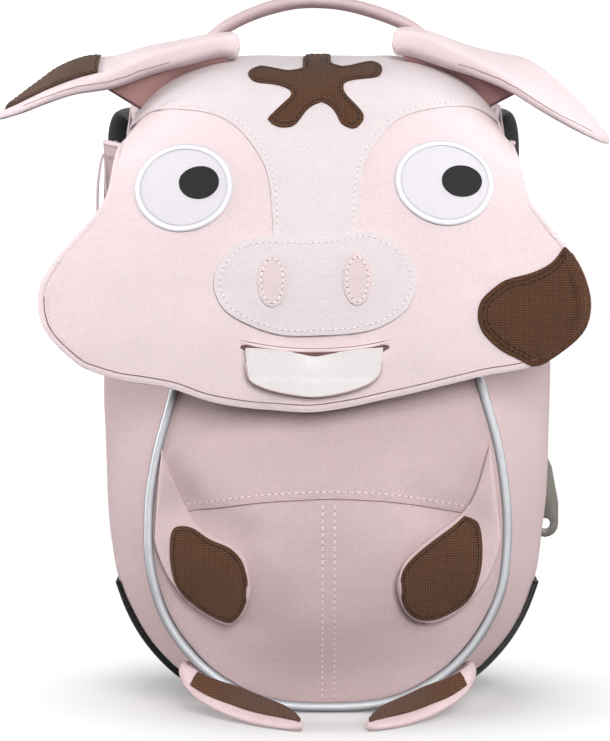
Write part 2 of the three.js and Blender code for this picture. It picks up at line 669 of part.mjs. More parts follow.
// The ears: along and rise are shares of the length, back and depth of the depth, and thick of the
// thickness. turn is the tilt of the section in degrees, with the front edge lower.
const earRows = {
  left: [
    { along: 0.000, rise: 0.042, back: -0.30, depth: 0.35, thick: 0.66, turn: 0 },
    { along: 0.065, rise: 0.052, back: -0.30, depth: 0.50, thick: 0.80, turn: 0 },
    { along: 0.185, rise: 0.028, back: -0.30, depth: 0.60, thick: 0.86, turn: 5 },
    { along: 0.370, rise: -0.020, back: -0.28, depth: 0.70, thick: 0.95, turn: 10 },
    { along: 0.537, rise: -0.070, back: -0.23, depth: 0.90, thick: 0.86, turn: 16 },
    { along: 0.648, rise: -0.078, back: -0.15, depth: 1.00, thick: 0.69, turn: 18 },
    { along: 0.769, rise: -0.121, back: -0.10, depth: 1.00, thick: 0.63, turn: 17 },
    { along: 0.852, rise: -0.168, back: -0.05, depth: 0.80, thick: 0.54, turn: 15 },
    { along: 0.926, rise: -0.210, back: 0.00, depth: 0.55, thick: 0.46, turn: 13 },
    { along: 1.000, rise: -0.250, back: 0.03, depth: 0.20, thick: 0.26, turn: 10 },
  ],
  right: [
    { along: 0.000, rise: 0.054, back: -0.30, depth: 0.35, thick: 0.61, turn: 0 },
    { along: 0.056, rise: 0.059, back: -0.30, depth: 0.50, thick: 0.91, turn: 0 },
    { along: 0.167, rise: 0.031, back: -0.30, depth: 0.60, thick: 1.00, turn: 5 },
    { along: 0.278, rise: -0.009, back: -0.30, depth: 0.70, thick: 0.94, turn: 11 },
    { along: 0.389, rise: -0.041, back: -0.28, depth: 0.80, thick: 0.86, turn: 17 },
    { along: 0.500, rise: -0.074, back: -0.25, depth: 0.95, thick: 0.74, turn: 24 },
    { along: 0.593, rise: -0.116, back: -0.20, depth: 1.00, thick: 0.69, turn: 29 },
    { along: 0.685, rise: -0.176, back: -0.15, depth: 1.00, thick: 0.63, turn: 27 },
    { along: 0.778, rise: -0.247, back: -0.10, depth: 0.80, thick: 0.54, turn: 25 },
    { along: 0.843, rise: -0.304, back: -0.05, depth: 0.55, thick: 0.46, turn: 23 },
    { along: 0.894, rise: -0.343, back: 0.00, depth: 0.20, thick: 0.26, turn: 25 },
  ],
};
const earStart = { left: 35, right: 35 };       // from the head's middle line
const foldSpan = {
  left: { from: 0.26, to: 0.47, inner: 0.505, outer: 0.690 },
  right: { from: 0.31, to: 0.50, inner: 0.560, outer: 0.675 },
};
const foldDown = 0.352;
const foldLift = crestGap + patchThickness + crestGap;
const ears = {};
for (const [side, sign] of [['left', -1], ['right', 1]]) {
  ears[side] = pad(earRows[side].map((row) => {
    const turn = THREE.MathUtils.degToRad(row.turn);
    const x = flapOffset + sign * (earStart[side] + row.along * earLength);
    return {
      centre: V3(x, row.back * earDepth, bodyHeight + row.rise * earLength),
      across: V3(0, Math.cos(turn), Math.sin(turn)).multiplyScalar(row.depth * earDepth / 2),
      up: V3(0, -Math.sin(turn), Math.cos(turn)).multiplyScalar(row.thick * earThickness / 2),
    };
  }));
  add(`ear_${side}`, ears[side].solid(8, 12), pinkCanvas);
  const { from, to, inner, outer } = foldSpan[side];
  const foldFace = (shift) => (u, v) => {
    const high = ears[side].point(lerp(from, to, u), 0, -1, layerGap);
    const low = flapPoint(sign * lerp(inner, outer, u) * flapHalf, foldDown * flapRun, foldLift);
    const p = high.lerp(low, v);
    p.y += shift;
    return p;
  };
  add(`ear_fold_${side}`, sheet(foldFace(0), foldFace(earFoldThickness), 5, 2), pinkCanvas);
}
add('ear_patch', padPatch(ears.left, crestGap, () => 0.485, 0.965, -0.72, 0.72, 8, 2),
  brownCanvas);

// The arms lie on the front. Their edges are shares of half the body's width and of its height.
const armRows = {
  left: [
    { highX: 0.725, highZ: 0.400, lowX: 0.755, lowZ: 0.262 },
    { highX: 0.689, highZ: 0.364, lowX: 0.715, lowZ: 0.224 },
    { highX: 0.615, highZ: 0.310, lowX: 0.648, lowZ: 0.190 },
    { highX: 0.550, highZ: 0.283, lowX: 0.565, lowZ: 0.162 },
    { highX: 0.445, highZ: 0.267, lowX: 0.470, lowZ: 0.143 },
    { highX: 0.380, highZ: 0.251, lowX: 0.415, lowZ: 0.141 },
    { highX: 0.348, highZ: 0.228, lowX: 0.365, lowZ: 0.159 },
    { highX: 0.334, highZ: 0.203, lowX: 0.336, lowZ: 0.183 },
  ],
  right: [
    { highX: 0.700, highZ: 0.410, lowX: 0.755, lowZ: 0.266 },
    { highX: 0.672, highZ: 0.372, lowX: 0.710, lowZ: 0.217 },
    { highX: 0.630, highZ: 0.329, lowX: 0.615, lowZ: 0.174 },
    { highX: 0.570, highZ: 0.305, lowX: 0.530, lowZ: 0.149 },
    { highX: 0.476, highZ: 0.282, lowX: 0.445, lowZ: 0.141 },
    { highX: 0.380, highZ: 0.257, lowX: 0.375, lowZ: 0.148 },
    { highX: 0.320, highZ: 0.233, lowX: 0.325, lowZ: 0.169 },
    { highX: 0.304, highZ: 0.210, lowX: 0.306, lowZ: 0.193 },
  ],
};
// The root end of the arms' patches is round: from is a share of the arm's length.
const armPatchRows = [
  { across: -1.00, from: 0.285 },
  { across: -0.50, from: 0.215 },
  { across: 0.15, from: 0.215 },
  { across: 0.55, from: 0.265 },
  { across: 1.00, from: 0.400 },
];
for (const [side, sign] of [['left', -1], ['right', 1]]) {
  const rows = armRows[side].map((row, i, all) => ({ ...row, share: i / (all.length - 1) }));
  const edge = (xKey, zKey) => (row) => frontPoint(sign * row[xKey] * halfBody,
    row[zKey] * bodyHeight, layerGap + armThickness / 2 + row.share * armLift);
  const stations = edgeStations(rows, edge('highX', 'highZ'), edge('lowX', 'lowZ'),
    () => armThickness);
  for (const station of stations) if (station.up.y > 0) station.up.negate();
  const arm = pad(stations);
  add(`arm_${side}`, arm.solid(7, 8), pinkCanvas);
  add(`arm_patch_${side}`, padPatch(arm, layerGap, column(armPatchRows, 'across', 'from'), 0.965,
    -0.92, 0.92, 6, 5), brownCanvas);
}

// The feet lie half under the front and reach forward on the floor. In is a share of the way from
// the foot's root to its tip across the bag, out a share of the reach, and z of the rise.
const footRows = [
  { highIn: 0.050, highOut: -0.33, highZ: 1.00, lowIn: 0.000, lowOut: -0.29, lowZ: 0.77 },
  { highIn: 0.100, highOut: -0.05, highZ: 0.98, lowIn: 0.037, lowOut: 0.04, lowZ: 0.62 },
  { highIn: 0.260, highOut: 0.095, highZ: 0.80, lowIn: 0.167, lowOut: 0.22, lowZ: 0.35 },
  { highIn: 0.463, highOut: 0.16, highZ: 0.62, lowIn: 0.380, lowOut: 0.46, lowZ: 0.17 },
  { highIn: 0.657, highOut: 0.32, highZ: 0.45, lowIn: 0.630, lowOut: 0.74, lowZ: 0.08 },
  { highIn: 0.852, highOut: 0.54, highZ: 0.35, lowIn: 0.843, lowOut: 0.92, lowZ: 0.065 },
  { highIn: 0.954, highOut: 0.76, highZ: 0.25, lowIn: 0.960, lowOut: 1.00, lowZ: 0.075 },
  { highIn: 1.000, highOut: 0.90, highZ: 0.17, lowIn: 1.000, lowOut: 0.99, lowZ: 0.11 },
];
const footRoot = 65;            // from the bag's middle line
const footTip = { left: 11, right: 16.5 };
const footReach = 50;
const footRise = 0.069 * bodyHeight;
for (const [side, sign] of [['left', -1], ['right', 1]]) {
  const edge = (inKey, outKey, zKey) => (row) => V3(
    sign * lerp(footRoot, footTip[side], row[inKey]),
    frontY - row[outKey] * footReach, row[zKey] * footRise);
  const stations = edgeStations(footRows, edge('highIn', 'highOut', 'highZ'),
    edge('lowIn', 'lowOut', 'lowZ'), (row) => footThickness * (row.highIn === 1 ? 0.5 : 1));
  for (const station of stations) if (station.up.z < 0) station.up.negate();
  const foot = pad(stations);
  add(`foot_${side}`, foot.solid(7, 8), pinkCanvas);
  add(`foot_patch_${side}`, padPatch(foot, layerGap, () => 0.22, 0.965, -0.5, 0.9, 7, 3),
    brownCanvas);
}

// Straps are pads through stations too: across is level, and up stands on the strap's own line.
function ribbonStations(rows, centre, across, thickness) {
  const middles = rows.map(centre);
  return rows.map((row, i) => {
    const along = middles[Math.min(i + 1, rows.length - 1)].clone()
      .sub(middles[Math.max(i - 1, 0)]);
    const up = across(row).cross(along).normalize().multiplyScalar(thickness(row) / 2);
    return { centre: middles[i], across: across(row), up };
  });
}

// The carry handle arches over the crest.
const handleRows = [
  { across: -1.00, rise: 0.00 },
  { across: -0.97, rise: 0.23 },
  { across: -0.885, rise: 0.45 },
  { across: -0.73, rise: 0.65 },
  { across: -0.51, rise: 0.84 },
  { across: -0.25, rise: 0.97 },
  { across: -0.03, rise: 1.00 },
  { across: 0.22, rise: 0.95 },
  { across: 0.47, rise: 0.81 },
  { across: 0.72, rise: 0.63 },
  { across: 0.885, rise: 0.45 },
  { across: 0.97, rise: 0.23 },
  { across: 1.00, rise: 0.00 },
];
const handleMiddle = -4;
const handleDown = 0.235;       // where it stands on the flap, as a share of the run
const handleSeat = flapPoint(handleSpan / 2 + handleMiddle - flapOffset, handleDown * flapRun,
  layerGap);
const handle = pad(ribbonStations(handleRows,
  (row) => V3(handleMiddle + row.across * handleSpan / 2, handleSeat.y,
    handleSeat.z + handleThickness * 0.35 + row.rise * handleRise),
  () => V3(0, handleWidth / 2, 0), () => handleThickness));
add('carry_handle', handle.solid(5, 16), pinkCanvas);

// Shoulder straps, their adjusters and the webbing below. behind is a share of the straps' reach.
const strapRows = [
  { x: 0.56, behind: 0.037, z: 0.770, wide: 0.85, thick: 0.40 },
  { x: 0.58, behind: 0.065, z: 0.835, wide: 0.95, thick: 0.50 },
  { x: 0.64, behind: 0.190, z: 0.890, wide: 1.00, thick: 0.95 },
  { x: 0.71, behind: 0.420, z: 0.916, wide: 1.00, thick: 1.00 },
  { x: 0.76, behind: 0.690, z: 0.902, wide: 1.00, thick: 1.00 },
  { x: 0.78, behind: 0.880, z: 0.848, wide: 1.00, thick: 1.00 },
  { x: 0.78, behind: 0.980, z: 0.760, wide: 1.00, thick: 1.00 },
  { x: 0.81, behind: 1.000, z: 0.640, wide: 1.00, thick: 1.00 },
  { x: 0.82, behind: 0.940, z: 0.530, wide: 1.00, thick: 1.00 },
  { x: 0.80, behind: 0.800, z: 0.440, wide: 0.90, thick: 0.90 },
  { x: 0.79, behind: 0.700, z: 0.386, wide: 0.72, thick: 0.60 },
];
const webbingRows = [
  { x: 0.79, behind: 0.626, z: 0.372 },
  { x: 0.79, behind: 0.626, z: 0.300 },
  { x: 0.77, behind: 0.500, z: 0.225 },
  { x: 0.70, behind: 0.260, z: 0.178 },
  { x: 0.63, behind: 0.060, z: 0.155 },
  { x: 0.60, behind: 0.024, z: 0.125 },
];
const strapTopShift = -6;       // the straps hang aslant, to one side at the top
const strapLowShift = 8;        // and to the other side at the bottom
const strapTop = 0.8;
const strapLow = 0.386;
const shiftAt = (z) => lerp(strapLowShift, strapTopShift, smoothstep(z, strapLow, strapTop));
const strapPlace = (sign, row) => V3(sign * row.x * halfBody + shiftAt(row.z),
  backY + row.behind * strapReach, row.z * bodyHeight);

// The adjuster's frame has a slot for the webbing, and a pull tab with a round hole.
function adjusterShape(sign) {
  const half = adjusterWidth / 2;
  const tabX = sign * (half + 4);
  const lowest = -tabLength;
  const corner = 3;
  const shape = new THREE.Shape();
  shape.moveTo(-sign * half, corner);
  shape.lineTo(-sign * half, adjusterHeight);
  shape.lineTo(sign * half, adjusterHeight);
  shape.lineTo(tabX + sign * tabWidth * 0.25, adjusterHeight * 0.35);
  shape.lineTo(tabX + sign * tabWidth / 2, lowest * 0.35);
  for (let i = 0; i <= 8; i++) {
    const angle = (i / 8) * Math.PI;
    shape.lineTo(tabX + sign * Math.cos(angle) * tabWidth / 2,
      lowest + tabWidth / 2 - Math.sin(angle) * tabWidth / 2);
  }
  shape.lineTo(tabX - sign * tabWidth / 2, 0);
  shape.lineTo(-sign * (half - corner), 0);
  const slot = new THREE.Path();
  const slotHalf = webbingWidth / 2 + 1;
  const [low, high] = [adjusterHeight * 0.55, adjusterHeight * 0.8];
  slot.moveTo(-slotHalf, low);
  slot.lineTo(slotHalf, low);
  slot.lineTo(slotHalf, high);
  slot.lineTo(-slotHalf, high);
  const hole = new THREE.Path();
  hole.absarc(tabX, lowest + tabWidth / 2, tabHole / 2, 0, 2 * Math.PI, false);
  shape.holes.push(slot, hole);
  return shape;
}
for (const [side, sign] of [['left', -1], ['right', 1]]) {
  const strap = pad(ribbonStations(strapRows, (row) => strapPlace(sign, row),
    (row) => V3(row.wide * strapWidth / 2, 0, 0), (row) => row.thick * strapThickness));
  add(`shoulder_strap_${side}`, strap.solid(5, 14), greyCanvas);

  const end = strapPlace(sign, strapRows[strapRows.length - 1]);
  const adjuster = add(`adjuster_${side}`, new THREE.ExtrudeGeometry(adjusterShape(sign),
    { depth: adjusterThickness, bevelEnabled: false, curveSegments: 6 }), greyPlastic);
  adjuster.rotation.x = Math.PI / 2;
  adjuster.position.set(end.x, end.y + adjusterThickness / 2, end.z - seamGap * 3 - adjusterHeight);

  const webbing = pad(ribbonStations(webbingRows, (row) => strapPlace(sign, row),
    () => V3(webbingWidth / 2, 0, 0), () => webbingThickness));
  add(`webbing_${side}`, webbing.solid(2, 8), greyWebbing);
}

// The flap's hidden fastening, one plain piece between the flap and the front
const closureHeight = 0.52;
const closureFront = frontPoint(flapOffset, closureHeight * bodyHeight, seamGap).y;
const closureBack = backY - 1.24 * bodyDepth + clothThickness + seamGap;
const closureLength = closureFront - closureBack;
const closure = add('flap_closure', new THREE.CylinderGeometry(closureDiameter / 2,
  closureDiameter / 2, closureLength, 14), blackCanvas);
closure.position.set(flapOffset, (closureFront + closureBack) / 2, closureHeight * bodyHeight);

// The drawcord's loop hangs out of the mouth at the left. Its points were chosen by hand.
const drawcordPoints = [
  [-100.6, 0, 246], [-101.2, -3, 245.5], [-101.8, -8, 243], [-102.3, -14, 238], [-102.6, -20, 232],
  [-102.5, -25, 225], [-102.2, -29, 217], [-101.4, -31, 209], [-99.8, -31, 202],
  [-97.5, -28.5, 198.5], [-95.5, -24.5, 200], [-95.4, -21, 208], [-96.4, -17.5, 217],
  [-98.4, -13.5, 226], [-99.6, -9, 234], [-99.9, -6.5, 240],
];
const drawcordCurve = new THREE.CatmullRomCurve3(drawcordPoints.map((p) => V3(...p)));
add('drawcord', tube(drawcordCurve, drawcordDiameter, 6, 20), cordPink);

export default bag;
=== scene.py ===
"""A small child's backpack in the shape of a pig, dressed in canvas, thread and webbing."""

import math

import bmesh
import bpy
from bpy.props import FloatProperty, FloatVectorProperty, PointerProperty
from bpy.types import Operator, Panel, PropertyGroup
from mathutils import Matrix, Vector, noise
from mathutils.bvhtree import BVHTree


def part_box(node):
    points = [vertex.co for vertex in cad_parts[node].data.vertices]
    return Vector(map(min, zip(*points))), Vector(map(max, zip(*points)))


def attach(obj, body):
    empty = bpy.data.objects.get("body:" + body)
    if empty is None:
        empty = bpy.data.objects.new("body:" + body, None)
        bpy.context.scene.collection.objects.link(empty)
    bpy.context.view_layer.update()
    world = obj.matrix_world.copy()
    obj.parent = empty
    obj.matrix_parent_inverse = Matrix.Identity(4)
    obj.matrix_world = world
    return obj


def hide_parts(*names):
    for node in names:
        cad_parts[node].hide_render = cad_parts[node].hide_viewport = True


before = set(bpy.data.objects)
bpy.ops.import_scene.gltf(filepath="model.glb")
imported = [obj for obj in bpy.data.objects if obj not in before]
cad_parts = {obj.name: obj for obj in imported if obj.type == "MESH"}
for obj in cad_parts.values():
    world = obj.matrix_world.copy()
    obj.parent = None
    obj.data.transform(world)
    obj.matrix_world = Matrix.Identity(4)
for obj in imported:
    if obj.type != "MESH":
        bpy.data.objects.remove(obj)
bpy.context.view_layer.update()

bl_info = {
    "name": "Pig backpack",
    "version": (1, 0, 0),
    "blender": (4, 5, 0),
    "location": "View3D > Sidebar > Backpack",
    "description": "Sews the cloth, thread, padding and webbing of a small child's pig backpack",
    "category": "Object",
}

MIDDLE = Vector((0.0, 0.005, 0.15))
MM = 0.001
SIDES = ("left", "right")
LAYER_GAP = 0.00012
SHEET = 0.002  # thickness of the flap and of the front
PATCH = 0.001  # thickness of what is sewn on them
TONGUE = 0.0036  # thickness of the tongue
STRAP = 0.007  # thickness of the shoulder straps
FRONT = -0.03  # what lies before it belongs to the front
BELLY_HEIGHT = 0.076
BELLY_REACH = (0.05, 0.04)
EYE_MIDDLES = ((-0.0625, 0.238), (0.051, 0.238))
EYE_REACH = 0.031574
GUSSET_TOP = (0.226, 0.25)  # heights between which the gussets' front corners draw in
GUSSET_FRONT = (-0.012, -0.048)
LIP_HEIGHT = 0.1619
LIP_SAG = 0.0037
LIP_STEPS = 24
EAR_SEAM_STEPS = 24
EAR_ROOT_Y = (-0.004, -0.012)  # where an ear's root leaves the head and meets the ear
BACK_MIDDLE = Vector((0.0, 0.13))
BACK_FACE = 0.0575  # what lies behind it belongs to the back's outer face
QUILT_INSET = 0.022
QUILT_SEAM = (0.0016, 0.0035)  # depth and width
QUILT_SWELL = (0.003, 0.014)
FOLD_SEED = 22
LIGHTS_AIM = (0.0, 0.0, 0.15)
LIGHTS = (  # name, place, size and power
    ("Key light", (0.4, -1.8, 0.85), 1.0, 39.0),
    ("Right light", (2.0, 0.12, 0.4), 1.0, 25.0),
    ("Left light", (-2.0, 0.08, 0.35), 1.0, 43.0),
    ("Back light", (-0.5, 1.9, 0.8), 1.2, 14.0),
)
DRAWCORD = (  # the places it hangs through, in millimetres
    ((-100.6, 0, 246), (-101.2, -3, 245.5), (-101.8, -8, 243), (-102.3, -14, 238)),
    ((-102.6, -20, 232), (-102.5, -25, 225), (-102.2, -29, 217), (-101.4, -31, 209)),
    ((-99.8, -31, 202), (-97.5, -28.5, 198.5), (-95.5, -24.5, 200), (-95.4, -21, 208)),
    ((-96.4, -17.5, 217), (-98.4, -13.5, 226), (-99.6, -9, 234), (-99.9, -6.5, 240)),
)
CREASES = (  # where the front is drawn in: start, end, width and depth
    ((-0.062, 0.093), (-0.036, 0.078), 0.009, 0.0052),
    ((-0.052, 0.125), (-0.024, 0.132), 0.008, 0.0018),
    ((0.040, 0.094), (0.062, 0.086), 0.008, 0.0022),
    ((-0.058, 0.050), (-0.040, 0.020), 0.010, 0.0020),
    ((0.056, 0.045), (0.040, 0.020), 0.009, 0.0018),
)


def srgb(red, green, blue):
    """A colour read from the photograph as shares of 255, made linear."""
    shares = [c / 255 for c in (red, green, blue)]
    return tuple(c / 12.92 if c <= 0.04045 else ((c + 0.055) / 1.055) ** 2.4 for c in shares)


def length_property(name, description, default):
    return FloatProperty(name=name, description=description, default=default, unit="LENGTH")


def colour_property(name, description, *rgb):
    limits = {"size": 3, "min": 0.0, "max": 1.0}
    return FloatVectorProperty(
        name=name, description=description, subtype="COLOR", default=srgb(*rgb), **limits
    )


class BackpackCloth(PropertyGroup):
    """Sizes of the cloth, the thread and the folds."""

    thread_pitch: length_property("Thread pitch", "One over-and-under of the canvas", 0.0012)
    weave_relief: length_property("Weave relief", "Height of the canvas weave", 0.00023)
    fold_depth: length_property("Fold depth", "How far the stuffed cloth buckles", 0.0011)
    fold_size: length_property("Fold size", "Distance from one fold to the next", 0.046)
    tuck: length_property("Tuck", "How far the forehead goes on under the snout", 0.004)
    belly: length_property("Belly", "How far the front is stuffed further out", 0.01)
    eye_bulge: length_property("Eye bulge", "How far the cloth round the eyes is stuffed", 0.0032)
    stitch_length: length_property("Stitch length", "One stitch of the seams", 0.0022)
    stitch_pitch: length_property("Stitch pitch", "From one stitch to the next", 0.003)
    stitch_width: length_property("Stitch width", "Thickness of the sewing thread", 0.00052)
    seam_inset: length_property("Seam inset", "From a piece's edge to its seam", 0.002)
    binding_width: length_property("Binding width", "Visible width of the flap's edge", 0.0026)
    rim_width: length_property("Eye rim width", "Width of the satin rim of the eyes", 0.0021)


class BackpackColours(PropertyGroup):
    """Colours of the cloth, the thread and the plastic."""

    # The same pink canvas as the head, set darker all over: painted shade.
    body: colour_property("Body", "Pink canvas of the body", 228, 202, 204)
    head: colour_property("Head", "Pink canvas of the head", 240, 220, 223)
    forehead: colour_property("Forehead", "Pale canvas of the forehead and snout", 222, 211, 213)
    spots: colour_property("Spots", "Brown canvas of the spots", 138, 92, 64)
    thread: colour_property("Thread", "Light sewing thread", 240, 224, 227)
    # Painted shade: the dark dots stand for the shade in the needle holes.
    holes: colour_property("Needle holes", "Dark dots between the stitches", 160, 124, 126)
    eyes: colour_property("Eyes", "White satin of the eyes", 212, 208, 214)
    pupils: colour_property("Pupils", "Black satin of the pupils", 36, 34, 34)
    tongue: colour_property("Tongue", "White cloth of the tongue", 226, 220, 220)
    nostrils: colour_property("Nostrils", "Pink cloth of the nostrils", 238, 218, 221)
    mouth: colour_property("Mouth", "Shaded cloth inside the mouth", 120, 86, 86)
    straps: colour_property("Straps", "Grey canvas of the straps and the back", 72, 76, 74)
    plastic: colour_property("Plastic", "Grey plastic of the adjusters", 120, 116, 108)
    piping: colour_property("Piping", "Reflective piping", 194, 197, 201)


class BackpackStage(PropertyGroup):
    """The camera, the floor and the lights."""

    camera_distance: length_property("Camera distance", "In front of the bag's middle", 1.5)
    camera_height: length_property("Camera height", "Above the floor", 0.25)
    aim_height: length_property("Aim height", "Where the camera looks, above the floor", 0.148)
    camera_side: length_property("Camera side", "Sideways place of the camera", -0.01)
    lens: FloatProperty(name="Lens", description="Focal length in millimetres", default=160.7)
    daylight: FloatProperty(name="Daylight", description="Light all round", default=0.5)
    floor: colour_property("Floor", "Pale studio floor", 218, 216, 216)
    floor_bounce: colour_property("Floor bounce", "What the floor throws back", 160, 148, 148)
    floor_glow: FloatProperty(name="Floor glow", description="Evens the floor out", default=0.12)
    floor_near: length_property("Floor near", "From here the floor fades to white", 0.06)
    floor_far: length_property("Floor far", "From here on the floor is white", 0.165)


def cloth():
    return bpy.context.scene.backpack_cloth


def colours():
    return bpy.context.scene.backpack_colours


# Shader node groups


class Graph:
    """Adds nodes to a tree and joins them."""

    def __init__(self, tree):
        self.tree = tree

    def node(self, kind, **settings):
        made = self.tree.nodes.new(kind)
        for name, value in settings.items():
            setattr(made, name, value)
        return made

    def join(self, source, target):
        if isinstance(source, bpy.types.NodeSocket):
            self.tree.links.new(source, target)
        else:
            target.default_value = source

    def math(self, operation, *values):
        made = self.node("ShaderNodeMath", operation=operation)
        for value, socket in zip(values, made.inputs):
            self.join(value, socket)
        return made.outputs[0]

    def mix(self, share, first, second):
        made = self.node("ShaderNodeMix", data_type="RGBA")
        self.join(share, made.inputs["Factor"])
        self.join(first, made.inputs[6])
        self.join(second, made.inputs[7])
        return made.outputs[2]

    def split(self, vector):
        made = self.node("ShaderNodeSeparateXYZ")
        self.join(vector, made.inputs[0])
        return list(made.outputs)

    def scaled(self, colour, light):
        made = self.node("ShaderNodeVectorMath", operation="SCALE")
        self.join(colour, made.inputs[0])
        self.join(light, made.inputs["Scale"])
        return made.outputs[0]

    def noise(self, place, scale, detail=2.0):
        made = self.node("ShaderNodeTexNoise")
        made.inputs["Scale"].default_value = scale
        made.inputs["Detail"].default_value = detail
        self.join(place, made.inputs["Vector"])
        return made.outputs["Fac"]


def new_group(name, inputs, outputs):
    tree = bpy.data.node_groups.new(name, "ShaderNodeTree")
    for label, kind in inputs:
        tree.interface.new_socket(label, in_out="INPUT", socket_type=kind)
    for label, kind in outputs:
        tree.interface.new_socket(label, in_out="OUTPUT", socket_type=kind)
    graph = Graph(tree)
    return graph, graph.node("NodeGroupInput").outputs, graph.node("NodeGroupOutput").inputs


def plain_weave():
    """Threads that go over and under each other, on two coordinates counted in threads."""
    name = "Plain weave"
    if name in bpy.data.node_groups:
        return bpy.data.node_groups[name]
    sockets = [("Across", "NodeSocketFloat"), ("Along", "NodeSocketFloat")]
    graph, given, result = new_group(name, sockets, [("Height", "NodeSocketFloat")])
    waves = [
        graph.math("SINE", graph.math("MULTIPLY", given[label], math.pi))
        for label in ("Across", "Along")
    ]
    over = graph.math("GREATER_THAN", graph.math("MULTIPLY", *waves), 0.0)
    warp, weft = (graph.math("ABSOLUTE", wave) for wave in waves)
    first = graph.math("MULTIPLY", warp, graph.math("MULTIPLY_ADD", weft, 0.7, 0.3))
    second = graph.math("MULTIPLY", weft, graph.math("MULTIPLY_ADD", warp, 0.7, -0.1))
    difference = graph.math("MULTIPLY", over, graph.math("SUBTRACT", first, second))
    graph.join(graph.math("ADD", second, difference), result["Height"])
    return graph.tree


def woven_cloth():
    """Canvas on any side of a piece: the weave's colour and its height."""
    name = "Woven cloth"
    if name in bpy.data.node_groups:
        return bpy.data.node_groups[name]
    inputs = [
        ("Colour", "NodeSocketColor"),
        ("Pitch", "NodeSocketFloat"),
        ("Shade", "NodeSocketFloat"),
        ("Blotches", "NodeSocketFloat"),
    ]
    outputs = [("Colour", "NodeSocketColor"), ("Height", "NodeSocketFloat")]
    graph, given, result = new_group(name, inputs, outputs)
    place = graph.node("ShaderNodeTexCoord").outputs["Object"]
    ways = graph.split(graph.node("ShaderNodeNewGeometry").outputs["Normal"])
    threads = [graph.math("DIVIDE", axis, given["Pitch"]) for axis in graph.split(place)]
    shares = [graph.math("POWER", graph.math("ABSOLUTE", way), 6.0) for way in ways]
    total = graph.math("ADD", graph.math("ADD", shares[0], shares[1]), shares[2])
    height = None
    for share, (across, along) in zip(shares, ((1, 2), (0, 2), (0, 1))):
        weave = graph.node("ShaderNodeGroup", node_tree=plain_weave())
        for label, operation in (("Across", "ADD"), ("Along", "SUBTRACT")):
            turned = graph.math(operation, threads[across], threads[along])
            graph.join(graph.math("MULTIPLY", turned, math.sqrt(0.5)), weave.inputs[label])
        part = graph.math("MULTIPLY", weave.outputs["Height"], graph.math("DIVIDE", share, total))
        height = part if height is None else graph.math("ADD", height, part)
    graph.join(height, result["Height"])
    # Painted shade: the colour darkens in the weave's valleys by Shade.
    valleys = graph.math("MULTIPLY", graph.math("SUBTRACT", 1.0, height), given["Shade"])
    blotch = graph.math("SUBTRACT", graph.noise(place, 26.0, 3.0), 0.5)
    blotch = graph.math("MULTIPLY", blotch, given["Blotches"])
    fibre = graph.math("MULTIPLY", graph.math("SUBTRACT", graph.noise(place, 900.0), 0.5), 0.16)
    light = graph.math("SUBTRACT", 1.0, valleys)
    light = graph.math("ADD", graph.math("ADD", light, blotch), fibre)
    graph.join(graph.scaled(given["Colour"], light), result["Colour"])
    return graph.tree


def ribbed_thread():
    """Satin stitch, binding or cord: fine ribs along the piece's own first map coordinate."""
    name = "Ribbed thread"
    if name in bpy.data.node_groups:
        return bpy.data.node_groups[name]
    inputs = [
        ("Colour", "NodeSocketColor"),
        ("Ribs", "NodeSocketFloat"),
        ("Shade", "NodeSocketFloat"),
    ]
    outputs = [("Colour", "NodeSocketColor"), ("Height", "NodeSocketFloat")]
    graph, given, result = new_group(name, inputs, outputs)
    along = graph.split(graph.node("ShaderNodeTexCoord").outputs["UV"])[0]
    count = graph.math("MULTIPLY", along, given["Ribs"])
    height = graph.math("ABSOLUTE", graph.math("SINE", graph.math("MULTIPLY", count, math.pi)))
    graph.join(height, result["Height"])
    # Painted shade: the colour darkens in the hollows between the ribs by Shade.
    dark = graph.math("MULTIPLY", graph.math("SUBTRACT", 1.0, height), given["Shade"])
    light = graph.math("SUBTRACT", 1.0, dark)
    graph.join(graph.scaled(given["Colour"], light), result["Colour"])
    return graph.tree


# Materials


def finish(
    name, group, relief, roughness, sheen=0.0, gloss=0.25, metallic=0.0, coat=0.0, **values
):
    """A material whose colour and relief come from a shader group."""
    if name in bpy.data.materials:
        return bpy.data.materials[name]
    material = bpy.data.materials.new(name)
    material.use_nodes = True
    graph = Graph(material.node_tree)
    shader = material.node_tree.nodes["Principled BSDF"]
    made = graph.node("ShaderNodeGroup", node_tree=group)
    for label, value in values.items():
        made.inputs[label].default_value = (*value, 1.0) if label == "Colour" else value
    bump = graph.node("ShaderNodeBump")
    bump.inputs["Strength"].default_value = 1.0
    bump.inputs["Distance"].default_value = relief
    graph.join(made.outputs["Height"], bump.inputs["Height"])
    graph.join(bump.outputs[0], shader.inputs["Normal"])
    graph.join(made.outputs["Colour"], shader.inputs["Base Color"])
    shader.inputs["Roughness"].default_value = roughness
    shader.inputs["Metallic"].default_value = metallic
    shader.inputs["Sheen Weight"].default_value = sheen
    shader.inputs["Sheen Roughness"].default_value = 0.5
    shader.inputs["Coat Weight"].default_value = coat
    shader.inputs["Specular IOR Level"].default_value = gloss
    return material


def canvas(
    name,
    colour,
    shade=0.3,
    blotches=0.06,
    pitch=None,
    relief=None,
    sheen=0.12,
    roughness=0.88,
    **polish,
):
    """Cloth with the plain weave, or moulded plastic with the same grain much finer."""
    return finish(
        name,
        woven_cloth(),
        relief or cloth().weave_relief,
        roughness,
        sheen=sheen,
        **polish,
        Colour=colour,
        Pitch=(pitch or cloth().thread_pitch) / 2,
        Shade=shade,
        Blotches=blotches,
    )


